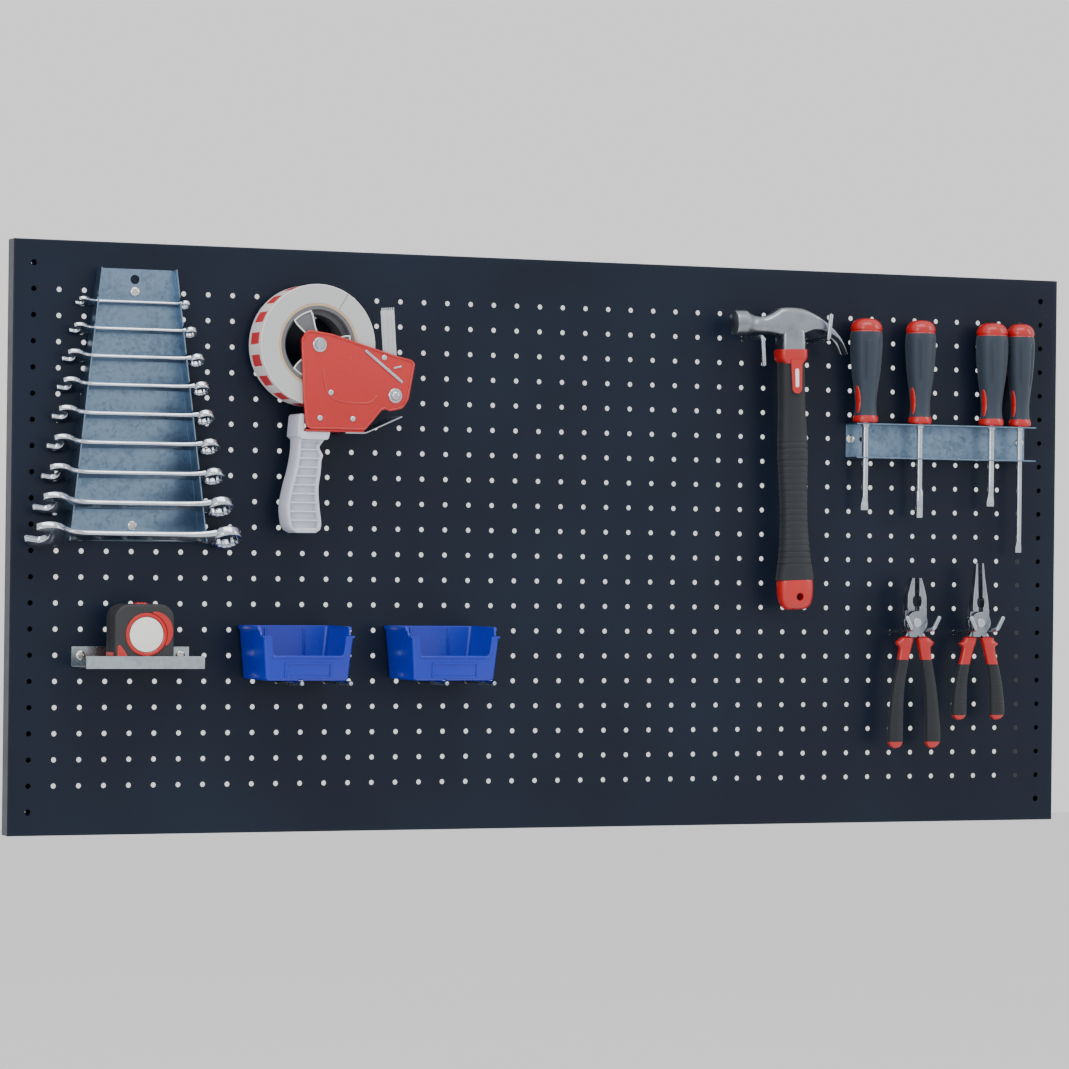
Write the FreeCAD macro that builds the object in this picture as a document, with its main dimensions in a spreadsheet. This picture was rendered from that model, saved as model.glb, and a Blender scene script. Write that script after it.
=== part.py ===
# Pegboard tool wall: a perforated steel board with racks, hooks, hand tools, a tape dispenser
# and two open bins.  Millimetres.  +Z is up and the board faces -Y.  The origin is the centre
# of the board's back, which lies on the wall.
import FreeCAD, Part
import os
import re
import Sketcher

doc = FreeCAD.newDocument("PegboardToolWall")
values = doc.addObject("Spreadsheet::Sheet", "Values")

sizes = {
    # the board: a flat sheet with folded rails and two channels behind its ends
    "board_w": 1140, "board_tall": 570, "board_deep": 20, "sheet_wall": 1.5,
    "hole_pitch": 25, "hole_dia": 5, "upright_w": 40, "rail_lip": 18,
    "fix_hole_dia": 6, "fix_in_x": 20, "fix_in_z": 22.5,
    # zinc sheet holders, rods and screws
    "zinc_wall": 1.2, "rod_loose": 0.4, "peg_behind": 11, "peg_up": 8, "peg_gap": 3,
    "screw_head_dia": 9, "screw_head_tall": 2.4, "loose": 0.4,
    # wrench rack and its nine combination wrenches
    "rack_x": -450, "rack_top_z": 259.5, "rack_tall": 262, "rack_top_w": 76, "rack_low_w": 138,
    "rack_top_deep": 16, "rack_low_deep": 24, "rack_hole_dia": 9,
    "wrench_x": -454, "wrench_z": 226.3, "wrench_step": 26.4, "wrench_step_more": 0.45,
    "wrench_tilt": 30, "wrench_off_board": 3, "jaw_turn": 15,
    "jaw_1": 6, "jaw_2": 8, "jaw_3": 10, "jaw_4": 11, "jaw_5": 12,
    "jaw_6": 13, "jaw_7": 14, "jaw_8": 17, "jaw_9": 19,
    "wrench_long_1": 115, "wrench_long_2": 128, "wrench_long_3": 143, "wrench_long_4": 153,
    "wrench_long_5": 163, "wrench_long_6": 173, "wrench_long_7": 183, "wrench_long_8": 200,
    "wrench_long_9": 216,
    # screwdriver rack and its four screwdrivers
    "drack_x": 425.5, "drack_top_z": 128.5, "drack_tall": 36, "drack_w": 211, "drack_deep": 26,
    "driver_y": 18.6, "tip_spread": 1.24, "tip_play": 0.32, "driver_handle": 94, "driver_cap": 14,
    "driver_tang": 45,
    "driver_x_1": 333.5, "driver_x_2": 397, "driver_x_3": 481.5, "driver_x_4": 515.5,
    "driver_dia_1": 34, "driver_dia_2": 32, "driver_dia_3": 34, "driver_dia_4": 30,
    "blade_long_1": 90, "blade_long_2": 97, "blade_long_3": 84, "blade_long_4": 132,
    "blade_dia_1": 7, "blade_dia_2": 6.4, "blade_dia_3": 7, "blade_dia_4": 5.6,
    # hammer, hung by its head on two rods
    "hammer_x": 240, "hammer_y": 30, "hammer_z": 229.0, "hammer_lean": 1.8, "poll_long": 64,
    "poll_dia": 25, "neck_dia": 15.2, "crown_dia": 150.6, "claw_dia": 68, "claw_reach": 59.4,
    "head_thick": 24, "claw_slot": 5, "socket_w": 27, "socket_low": 27.7, "collar_w": 31,
    "collar_tall": 12, "stem_w": 13, "stem_thick": 10, "grip_low": 263, "hammer_low": 293,
    "grip_w": 28, "grip_end_w": 44, "grip_thick": 25, "hammer_cap_w": 38, "cap_hole_dia": 8,
    "hammer_col": 8, "hammer_cols": 3, "hammer_row": 8.5, "hammer_rod_long": 48,
    "hammer_tip": 24, "hammer_drop": 28, "hammer_tip_lean": 6, "hammer_drop_lean": 4,
    "crown_x": 11.7, "crown_up": 15.3, "claw_x": 26.2, "claw_under": 8.8, "split_x": 38,
    "cheek_low": 14, "socket_up": 9, "head_tall": 16, "head_low": 40, "shaft_end": 22,
    # pliers, each between two rods
    "pliers_y": 30, "rod_rise": 5, "rod_long": 48, "tip_rise": 12, "tip_lean": 28,
    "pliers_row": -3.5, "pliers_col_1": 15.5, "pliers_col_2": 18.5,
    "joint_dia_1": 24, "joint_dia_2": 23, "joint_rest": 0.595, "layer_gap": 0.3,
    "pliers_thick": 12, "jaw_gap": 4.4, "rivet_dia": 7, "rivet_head": 0.8,
    "pliers_jaw_1": 46, "pliers_jaw_2": 62, "pliers_tip_w_1": 3.2, "pliers_tip_w_2": 2.4,
    "pliers_jaw_w_1": 9.4, "pliers_jaw_w_2": 7.5, "pliers_grip_1": 130, "pliers_grip_2": 101,
    "grip_top": 14, "tang_w": 4, "tang_deep": 8, "tang_long": 60, "tang_turn": 14,
    "pliers_spread_1": 21.4, "pliers_spread_2": 22, "pliers_grip_w": 17, "grip_deep": 13.6,
    # tape measure and its shelf
    "shelf_x": -450, "shelf_z": -124, "shelf_w": 118, "shelf_deep": 50, "shelf_lip": 12,
    "shelf_back": 20, "measure_x": -450.5, "measure_y": 32, "measure_w": 59, "measure_tall": 60,
    "measure_thick": 32, "measure_round": 14, "tape_w": 16, "tape_thick": 0.8, "tape_in": 50,
    "tape_up": 6, "catch_thick": 1.4, "catch_low": 5, "catch_off": 0.5, "lock_w": 14,
    "lock_deep": 10, "lock_stands": 4,
    # packing tape dispenser
    "gun_x": -277, "gun_y": 8, "gun_hang": 5.1, "roll_dia": 118, "roll_wide": 36, "core_dia": 76,
    "core_fit": 0.1, "hub_wall": 3.6, "hub_back_wall": 8, "hub_web": 5, "hub_open": 12,
    "axle_dia": 8, "run_fit": 0.05, "plate_right": 48, "plate_left": 13, "plate_low": 82,
    "plate_shelf": 2, "cutter_foot": 20.5, "cutter_wall": 1.2, "cutter_lean": 24,
    "plate_wall": 2, "plate_gap": 1.5, "roller_x": 79, "roller_z": 47.5, "roller_dia": 26,
    "handle_low": 182, "handle_w": 30, "handle_deep": 28, "cutter_long": 42,
    "flap_w": 14, "flap_long": 50, "tooth": 4, "gun_col": -11,
    "gun_row": 8.5, "gun_rod_long": 28, "gun_rise": 9.5,
    # open-front bins, each on two rods
    "bin_x_1": -294, "bin_x_2": -142, "bin_w": 94, "bin_low_w": 84, "bin_deep": 74,
    "bin_low_deep": 70, "bin_tall": 52, "bin_wall": 1.8, "bin_front_tall": 24, "bin_open_w": 78,
    "bin_step": 9, "bin_step_deep": 14, "bin_off_board": 1.5, "bin_row": -5.5,
    "bin_col_1": -12, "bin_col_2": -6, "bin_cols": 2, "bin_rod_long": 72,
}
for line, (alias, size) in enumerate(sizes.items(), 1):
    values.set("A%d" % line, alias)
    values.set("B%d" % line, str(size))
    values.setAlias("B%d" % line, alias)
doc.recompute()

X, Y, Z = FreeCAD.Vector(1, 0, 0), FreeCAD.Vector(0, 1, 0), FreeCAD.Vector(0, 0, 1)
pieces = []


def bound(text):
    # names of the sheet become references to its cells
    return re.sub(r"[a-z]\w*", lambda m: "Values." + m.group() if m.group() in sizes else m.group(),
                  str(text))


def number(text):
    return float(values.evalExpression(str(text)))


def bind(thing, **links):
    for name, text in links.items():
        thing.setExpression(name, bound(text))
    return thing


def put(thing, x=0, y=0, z=0, axis=Z, turn=0):
    # place a thing at x, y, z, turned about an axis by the angle that the sheet gives
    rotation = FreeCAD.Rotation(axis, number(turn))
    thing.Placement = FreeCAD.Placement(FreeCAD.Vector(number(x), number(y), number(z)), rotation)
    for letter, text in (("x", x), ("y", y), ("z", z)):
        thing.setExpression("Placement.Base." + letter, bound(text))
    return thing


def box(x, y, z, **turned):
    # a block; each of x, y and z is a pair of expressions, its two faces
    thing = bind(doc.addObject("Part::Box", "Block"), Length=f"({x[1]}) - ({x[0]})",
                 Width=f"({y[1]}) - ({y[0]})", Height=f"({z[1]}) - ({z[0]})")
    return put(thing, x[0], y[0], z[0], **turned)


def rod(dia, long, x=0, y=0, z=0, axis=Z, turn=0):
    thing = bind(doc.addObject("Part::Cylinder", "Rod"), Radius=f"({dia}) / 2", Height=long)
    return put(thing, x, y, z, axis, turn)


def ball(dia, x, y, z):
    return put(bind(doc.addObject("Part::Sphere", "Ball"), Radius=f"({dia}) / 2"), x, y, z)


def wedge(low, high, tall, deep_low, deep_high, **place):
    # a block whose half width and depth change from low to high over its height
    thing = doc.addObject("Part::Wedge", "Wedge")
    bind(thing, Xmin=f"-({low})", Xmax=low, X2min=f"-({high})", X2max=high, Ymin="0", Ymax=tall,
         Zmin=deep_low[0], Zmax=deep_low[1], Z2min=deep_high[0], Z2max=deep_high[1])
    return put(thing, axis=X, turn=90, **place)


def oval(x, y, z, rx, ry, axis=Z, turn=0):
    # an ellipse across the turned Z axis; its wider half comes first, as the kernel wants
    wide = number(rx) >= number(ry)
    thing = doc.addObject("Part::Ellipse", "Oval")
    thing.MajorRadius = 1000
    bind(thing, MajorRadius=rx if wide else ry, MinorRadius=ry if wide else rx)
    flat = FreeCAD.Rotation(Z, 0 if wide else 90)
    put(thing, x, y, z)
    thing.Placement = FreeCAD.Placement(thing.Placement.Base,
                                        FreeCAD.Rotation(axis, turn).multiply(flat))
    return thing


def loft(sections, straight=False):
    thing = doc.addObject("Part::Loft", "Loft")
    thing.Sections, thing.Solid, thing.Ruled = sections, True, straight
    return thing


def pad(points, deep, y=0):
    # a plate across Y: its outline is given as x, z pairs of expressions, each a bound constraint
    body = doc.addObject("PartDesign::Body", "Plate")
    sketch = body.newObject("Sketcher::SketchObject", "Outline")
    plane = [f for f in body.Origin.OriginFeatures if f.Role == "XZ_Plane"][0]
    sketch.AttachmentSupport, sketch.MapMode = (plane, [""]), "FlatFace"
    spots = [FreeCAD.Vector(number(x), number(z), 0) for x, z in points]
    count = len(points)
    for i in range(count):
        sketch.addGeometry(Part.LineSegment(spots[i], spots[(i + 1) % count]), False)
    for i in range(count):
        sketch.addConstraint(Sketcher.Constraint("Coincident", i, 2, (i + 1) % count, 1))
    for i, pair in enumerate(points):
        for kind, text, spot in zip(("DistanceX", "DistanceY"), pair, spots[i]):
            which = sketch.addConstraint(Sketcher.Constraint(kind, -1, 1, i, 1, spot))
            sketch.setExpression("Constraints[%d]" % which, bound(text))
    feature = body.newObject("PartDesign::Pad", "Pad")
    feature.Profile, sketch.Visibility = sketch, False
    bind(feature, Length=deep)
    return put(body, y=y)


def join(*things):
    thing = doc.addObject("Part::MultiFuse", "Joined")
    thing.Shapes = list(things)
    return thing


def cut(base, *tools):
    thing = doc.addObject("Part::Cut", "Cut")
    thing.Base, thing.Tool = base, tools[0] if len(tools) == 1 else join(*tools)
    return thing


def common(one, other):
    thing = doc.addObject("Part::Common", "Common")
    thing.Base, thing.Tool = one, other
    return thing


def piece(thing, label):
    thing.Label = label
    pieces.append(thing)
    return thing


FRONT = "-board_deep"                       # the plane of the board's front face
ROD = "(hole_dia - rod_loose)"              # a rod passes through a hole with this play


def perforatedSheet():
    # one face with every hole as an inner wire, raised to the sheet's thickness
    pitch, radius = number("hole_pitch"), number("hole_dia / 2")
    # a column stands on the middle line and no row does, and both fields end at the fixings
    across = 2 * int(number("(board_w / 2 - fix_in_x) / hole_pitch")) + 1
    rows = 2 * int(number("(board_tall / 2 - fix_in_z) / hole_pitch - 0.5"))
    centres = [(pitch * (i - (across - 1) / 2), pitch * (j - (rows - 1) / 2), radius)
               for i in range(across) for j in range(rows)]
    centres += [(sx * number("board_w / 2 - fix_in_x"), sz * number("board_tall / 2 - fix_in_z"),
                 number("fix_hole_dia / 2")) for sx in (-1, 1) for sz in (-1, 1)]
    half_w, half_t = number("board_w / 2"), number("board_tall / 2")
    corners = [FreeCAD.Vector(x, 0, z) for x, z in
               ((-half_w, -half_t), (half_w, -half_t), (half_w, half_t), (-half_w, half_t))]
    rim = Part.makePolygon(corners + corners[:1])
    holes = [Part.Wire(Part.makeCircle(r, FreeCAD.Vector(x, 0, z), Y)) for x, z, r in centres]
    face = Part.makeFace([rim] + holes, "Part::FaceMakerBullseye")
    sheet = doc.addObject("Part::Feature", "Sheet")
    sheet.Shape = face.extrude(Y * number("sheet_wall"))
    put(sheet, y=FRONT)
    piece(sheet, "perforated_sheet")


def boardFrame():
    behind = "-board_deep + sheet_wall"
    for label, side in (("left_upright", -1), ("right_upright", 1)):
        # a channel whose mouth faces the sheet; the wall screws go through its web
        block = box((f"{side} * (board_w / 2 - upright_w / 2) - upright_w / 2",
                     f"{side} * (board_w / 2 - upright_w / 2) + upright_w / 2"),
                    (behind, "0"), ("-board_tall / 2", "board_tall / 2"))
        inside = box((f"{side} * (board_w / 2 - upright_w / 2) - upright_w / 2 + sheet_wall",
                      f"{side} * (board_w / 2 - upright_w / 2) + upright_w / 2 - sheet_wall"),
                     (f"{behind} - 1", "-sheet_wall"), ("-board_tall", "board_tall"))
        screws = [rod("fix_hole_dia", "board_deep", f"{side} * (board_w / 2 - fix_in_x)",
                      "board_deep / 2", f"{up} * (board_tall / 2 - fix_in_z)", X, 90)
                  for up in (-1, 1)]
        piece(cut(block, inside, *screws), label)
    for label, up in (("top_rail", 1), ("bottom_rail", -1)):
        wide = ("-board_w / 2 + upright_w", "board_w / 2 - upright_w")
        edge = "board_tall / 2"
        wall = (f"{edge} - sheet_wall", edge) if up > 0 else (f"-{edge}", f"-{edge} + sheet_wall")
        lip = (f"{edge} - rail_lip", edge) if up > 0 else (f"-{edge}", f"-{edge} + rail_lip")
        piece(join(box(wide, (behind, "0"), wall), box(wide, ("-sheet_wall", "0"), lip)), label)


def screwHoles(places):
    return [rod("hole_dia", "board_deep", x, FRONT, z, X, 90) for x, z in places]


RACK_SCREWS = [("rack_x", "9.5 * hole_pitch"), ("rack_x", "0.5 * hole_pitch")]
DRIVER_SCREWS = [("drack_x - 4 * hole_pitch - 0.5", "4.5 * hole_pitch"),
                 ("drack_x + 4 * hole_pitch - 0.5", "4.5 * hole_pitch")]
SHELF_SCREWS = [("shelf_x - 2 * hole_pitch", "-4.5 * hole_pitch"),
                ("shelf_x + 2 * hole_pitch", "-4.5 * hole_pitch")]


def rackScrews():
    heads = []
    for x, z in RACK_SCREWS + DRIVER_SCREWS + SHELF_SCREWS:
        head = rod("screw_head_dia", "screw_head_tall", x, f"{FRONT} - zinc_wall", z, X, 90)
        shank = rod(ROD, "zinc_wall + sheet_wall + peg_gap", x,
                    f"{FRONT} + sheet_wall + peg_gap", z, X, 90)
        heads.append(join(head, shank))
    piece(join(*heads), "rack_screws")


def wrenchWords(i):
    # the sizes of one wrench that follow from its jaw
    jaw = f"jaw_{i}"
    words = {"jaw": jaw, "long": f"wrench_long_{i}", "head": f"({jaw} * 2.05 + 2)",
             "ring": f"({jaw} * 1.45 + 2)", "head_t": f"({jaw} * 0.25 + 2)",
             "ring_t": f"({jaw} * 0.42 + 2)", "shank_w": f"({jaw} * 0.45 + 3.5)",
             "shank_t": f"({jaw} * 0.22 + 1.6)"}
    words["y"] = f"{FRONT} - wrench_off_board - {words['head']} / 2 * cos(wrench_tilt)"
    words["z"] = f"wrench_z - wrench_step * {i - 1} - wrench_step_more * {(i - 1) * (i - 2) / 2}"
    return words


def wrench(i):
    # length along X, open end to the left; the flat faces look along Z before the tilt
    w = wrenchWords(i)
    left, right = f"-{w['long']} / 2 + {w['head']} / 2", f"{w['long']} / 2 - {w['ring']} / 2"
    head = rod(w["head"], w["head_t"], left, 0, f"-{w['head_t']} / 2")
    ring = rod(w["ring"], w["ring_t"], right, 0, f"-{w['ring_t']} / 2")
    shank = box((f"{left} + {w['head']} * 0.35", f"{right} - {w['ring']} * 0.3"),
                (f"-{w['shank_w']} / 2", f"{w['shank_w']} / 2"),
                (f"-{w['shank_t']} / 2", f"{w['shank_t']} / 2"))
    # the mouth turns about the middle of the head, so its corner turns with it
    mouth = bind(doc.addObject("Part::Box", "Mouth"), Length=f"{w['head']} + {w['jaw']} * 0.1",
                 Width=w["jaw"], Height=f"{w['head_t']} + 2")
    put(mouth, f"{left} - {w['head']} * cos(jaw_turn) + {w['jaw']} / 2 * sin(jaw_turn)",
        f"-{w['jaw']} / 2 * cos(jaw_turn) - {w['head']} * sin(jaw_turn)",
        f"-{w['head_t']} / 2 - 1", Z, "jaw_turn")
    points = doc.addObject("Part::Prism", "Points")
    points.Polygon = 12
    bind(points, Circumradius=f"{w['jaw']} * 0.53", Height=f"{w['ring_t']} + 2")
    put(points, right, 0, f"-{w['ring_t']} / 2 - 1")
    solid = cut(join(head, ring, shank), mouth, points)
    put(solid, "wrench_x", w["y"], w["z"], X, "-wrench_tilt")
    piece(solid, f"wrench_{i}")


def wrenchRack():
    low, high = "rack_low_w / 2", "rack_top_w / 2"
    seat = {"x": "rack_x", "y": FRONT, "z": "rack_top_z - rack_tall"}
    outer = wedge(low, high, "rack_tall", ("0", "rack_low_deep"), ("0", "rack_top_deep"), **seat)
    inner = wedge(f"{low} - zinc_wall", f"{high} - zinc_wall", "rack_tall",
                  ("zinc_wall", "rack_low_deep + 1"), ("zinc_wall", "rack_top_deep + 1"), **seat)
    slots = []
    for i in range(1, 10):
        w = wrenchWords(i)
        # open to the front, and ending just behind the wrench's back edge
        reach, back = "rack_low_deep * 1.5", f"({w['shank_w']} / 2 + loose)"
        slot = bind(doc.addObject("Part::Box", "Slot"), Length="rack_low_w + 2",
                    Width=f"{reach} + {back}", Height=f"{w['shank_t']} + 2 * loose")
        tall = f"({w['shank_t']} / 2 + loose)"
        put(slot, "rack_x - rack_low_w / 2 - 1",
            f"{w['y']} - {reach} * cos(wrench_tilt) - {tall} * sin(wrench_tilt)",
            f"{w['z']} + {reach} * sin(wrench_tilt) - {tall} * cos(wrench_tilt)",
            X, "-wrench_tilt")
        slots.append(slot)
    hang = rod("rack_hole_dia", "board_deep", "rack_x", FRONT, "rack_top_z - 10", X, 90)
    piece(cut(outer, inner, hang, *screwHoles(RACK_SCREWS), *slots), "wrench_rack")


def driverRack():
    sides = ("drack_x - drack_w / 2", "drack_x + drack_w / 2")
    block = box(sides, (f"{FRONT} - drack_deep", FRONT), ("drack_top_z - drack_tall", "drack_top_z"))
    inside = box(("drack_x - drack_w", "drack_x + drack_w"),
                 (f"{FRONT} - drack_deep - 1", f"{FRONT} - zinc_wall"),
                 ("drack_top_z - drack_tall + zinc_wall", "drack_top_z - zinc_wall"))
    # the widest tip passes through every hole
    widest = "max(blade_dia_1; blade_dia_2; blade_dia_3; blade_dia_4) * tip_spread + tip_play"
    holes = [rod(widest, "drack_tall + 2", f"driver_x_{i}", f"{FRONT} - driver_y",
                 "drack_top_z - drack_tall - 1") for i in range(1, 5)]
    side = rod("hole_dia", "board_deep", "drack_x - 3.5 * hole_pitch", FRONT, "4.5 * hole_pitch",
               X, 90)
    piece(cut(block, inside, side, *screwHoles(DRIVER_SCREWS), *holes), "driver_rack")


def screwdriver(i):
    # the handle stands on the rack's top flange and the blade hangs through both flanges
    dia, blade = f"driver_dia_{i}", f"blade_dia_{i}"
    spot = (f"driver_x_{i}", f"{FRONT} - driver_y", "drack_top_z + loose")
    profile = ((0, 0.30), (5, 0.38), (28, 0.345), (62, 0.47), (80, 0.5), (94, 0.49))
    body = loft([oval(0, 0, f"driver_handle * {up / 94}", f"{dia} * {k}", f"{dia} * {k}")
                 for up, k in profile])
    handle = cut(body, rod(blade, "driver_tang + 1", 0, 0, "-1"))
    piece(put(handle, *spot), f"driver_handle_{i}")
    domes = ((0, 0.49), (0.45, 0.47), (0.85, 0.37), (1, 0.22))
    cap = loft([oval(0, 0, f"driver_handle + driver_cap * {up}", f"{dia} * {k}", f"{dia} * {k}")
                for up, k in domes])
    piece(put(cap, *spot), f"driver_cap_{i}")
    shaft = rod(blade, f"blade_long_{i} + driver_tang - {blade} * 1.5", 0, 0,
                f"-blade_long_{i} + {blade} * 1.5")
    tip = loft([oval(0, 0, f"-blade_long_{i} + {blade} * 1.5", f"{blade} / 2", f"{blade} / 2"),
                oval(0, 0, f"-blade_long_{i}", f"{blade} * tip_spread / 2", f"{blade} * 0.09")], True)
    piece(put(join(shaft, tip), *spot), f"driver_blade_{i}")


def tapeShelf():
    sides = ("shelf_x - shelf_w / 2", "shelf_x + shelf_w / 2")
    back = box(sides, (f"{FRONT} - zinc_wall", FRONT), ("shelf_z", "shelf_z + shelf_back"))
    floor = box(sides, (f"{FRONT} - shelf_deep", FRONT), ("shelf_z", "shelf_z + zinc_wall"))
    lip = box(sides, (f"{FRONT} - shelf_deep", f"{FRONT} - shelf_deep + zinc_wall"),
              ("shelf_z", "shelf_z + shelf_lip"))
    piece(cut(join(back, floor, lip), *screwHoles(SHELF_SCREWS)), "tape_shelf")


def peg(x, z, long, rise=0):
    # a rod out of a hole, with a short upward leg behind the sheet that keeps it in
    start = f"{FRONT} + peg_behind"
    arm = rod(ROD, f"{long} + peg_behind", x, start, f"{z} - peg_behind * tan({rise})",
              X, f"90 - {rise}")
    leg = rod(ROD, "peg_up", x, start, f"{z} - peg_behind * tan({rise})")
    return [arm, leg, ball(ROD, x, start, f"{z} - peg_behind * tan({rise})")]


def tipAt(x, z, long, rise, tall, lean, side):
    # the bent end of a peg: up by tall, leaning outwards to one side
    y = f"{FRONT} + peg_behind - ({long} + peg_behind) * cos({rise})"
    up = f"{z} - peg_behind * tan({rise}) + ({long} + peg_behind) * sin({rise})"
    end = rod(ROD, f"{tall} / cos({lean})", x, y, up, Y, f"{side} * {lean}")
    knob = ball(ROD, f"{x} + {side} * {tall} * tan({lean})", y, f"{up} + {tall}")
    return [end, ball(ROD, x, y, up), knob]


def hooks():
    left, row = "(hammer_col * hole_pitch)", "(hammer_row * hole_pitch)"
    right = "((hammer_col + hammer_cols) * hole_pitch)"
    arms = peg(left, row, "hammer_rod_long") + peg(right, row, "hammer_rod_long")
    up = tipAt(right, row, "hammer_rod_long", 0, "hammer_tip",
                "hammer_tip_lean", 1)
    down = rod(ROD, "hammer_drop", left, f"{FRONT} - hammer_rod_long", row, Y,
               "180 + hammer_drop_lean")
    knee = ball(ROD, left, f"{FRONT} - hammer_rod_long", row)
    piece(join(*arms, *up, down, knee), "hammer_hook")
    parts = []
    for i in (1, 2):
        for side in (-1, 1):
            x, row = f"((pliers_col_{i} + {side} / 2) * hole_pitch)", "(pliers_row * hole_pitch)"
            parts += peg(x, row, "rod_long", "rod_rise")
            parts += tipAt(x, row, "rod_long", "rod_rise", "tip_rise", "tip_lean", side)
    piece(join(*parts), "pliers_hooks")
    parts = []
    for i in (1, 2):
        for more in (0, 1):
            parts += peg(f"((bin_col_{i} + {more} * bin_cols) * hole_pitch)",
                         "(bin_row * hole_pitch)", "bin_rod_long")
    piece(join(*parts), "bin_hooks")
    # one rising rod carries the hollow hub of the tape roll from inside
    rod_x, rod_z = "(gun_col * hole_pitch)", "(gun_row * hole_pitch)"
    piece(join(*peg(rod_x, rod_z, "gun_rod_long", "gun_rise")), "dispenser_hook")


def hammer():
    seat = ("hammer_x", f"{FRONT} - hammer_y", "hammer_z", Y, "-hammer_lean")
    # the poll narrows to a neck whose underside stays level
    shape = ((-1, 0.96, 0), (-0.97, 1, 0), (-0.78, 1, 0), (-0.6, 0.8, -2.2), (-0.46, 0.62, -4.4),
             (-0.3, 0.66, -4), (-0.2, 0.8, -2))
    poll = loft([oval(f"poll_long * {at}", 0, low, f"poll_dia / 2 * {k}", f"poll_dia / 2 * {k}",
                      Y, 90) for at, k, low in shape])
    thick = ("-head_thick / 2", "head_thick / 2")
    crown = rod("crown_dia", "head_thick", "-crown_x", "head_thick / 2", "crown_up - crown_dia / 2",
                X, 90)
    top = common(crown, box(("-poll_long * 0.3", "claw_reach"), thick,
                            ("-head_low + 4", "head_tall")))
    hollow = rod("claw_dia", "head_thick + 2", "claw_x", "head_thick / 2 + 1",
                 "-claw_under - claw_dia / 2", X, 90)
    under = box(("-poll_long", "socket_w / 2"), ("-head_thick", "head_thick"),
                ("-head_low", "-cheek_low"))
    split = box(("split_x", "claw_reach + 1"), ("-claw_slot / 2", "claw_slot / 2"),
                ("-head_low", "head_tall"))
    socket = box(("-socket_w / 2", "socket_w / 2"), thick, ("-socket_low", "-socket_up"))
    piece(put(join(poll, cut(top, hollow, under, split), socket), *seat), "hammer_head")
    collar = box(("-collar_w / 2", "collar_w / 2"), ("-grip_thick / 2 - 0.5", "grip_thick / 2 + 0.5"),
                 ("-socket_low - collar_tall", "-socket_low"))
    stem = loft([oval(0, 0, "-socket_low - 1", "stem_w / 2", "stem_thick / 2"),
                 oval(0, 0, "-hammer_low + shaft_end", "stem_w / 2", "stem_thick / 2")], True)
    piece(put(join(collar, stem), *seat), "hammer_shaft")
    top_z = "(-socket_low - collar_tall)"
    waves = ((0, 1.0), (0.2, 1.04), (0.42, 1.16), (0.62, 1.0), (0.82, 1.12))
    rings = [oval(0, 0, f"{top_z} + (-grip_low - {top_z}) * {at}", f"grip_w / 2 * {k}",
                  f"grip_thick / 2 * {k * 0.9}") for at, k in waves]
    rings.append(oval(0, 0, "-grip_low", "grip_end_w / 2", "grip_thick / 2"))
    core = loft([oval(0, 0, f"{top_z} + 1", "stem_w / 2", "stem_thick / 2"),
                 oval(0, 0, "-hammer_low", "stem_w / 2", "stem_thick / 2")], True)
    piece(put(cut(loft(rings), core), *seat), "hammer_grip")
    ends = ((0, 1, 1), (0.45, 1, 1), (0.85, 0.86, 0.8), (1, 0.6, 0.5))
    cap = loft([oval(0, 0, f"-grip_low - (hammer_low - grip_low) * {at}",
                     f"hammer_cap_w / 2 * {a}", f"grip_thick / 2 * {b}") for at, a, b in ends])
    stub = loft([oval(0, 0, "-grip_low + 1", "stem_w / 2", "stem_thick / 2"),
                 oval(0, 0, "-hammer_low + shaft_end", "stem_w / 2", "stem_thick / 2")], True)
    eye = rod("cap_hole_dia", "grip_thick + 2", 0, "grip_thick / 2 + 1", "-hammer_low + 13", X, 90)
    piece(put(cut(cap, stub, eye), *seat), "hammer_cap")


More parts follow.
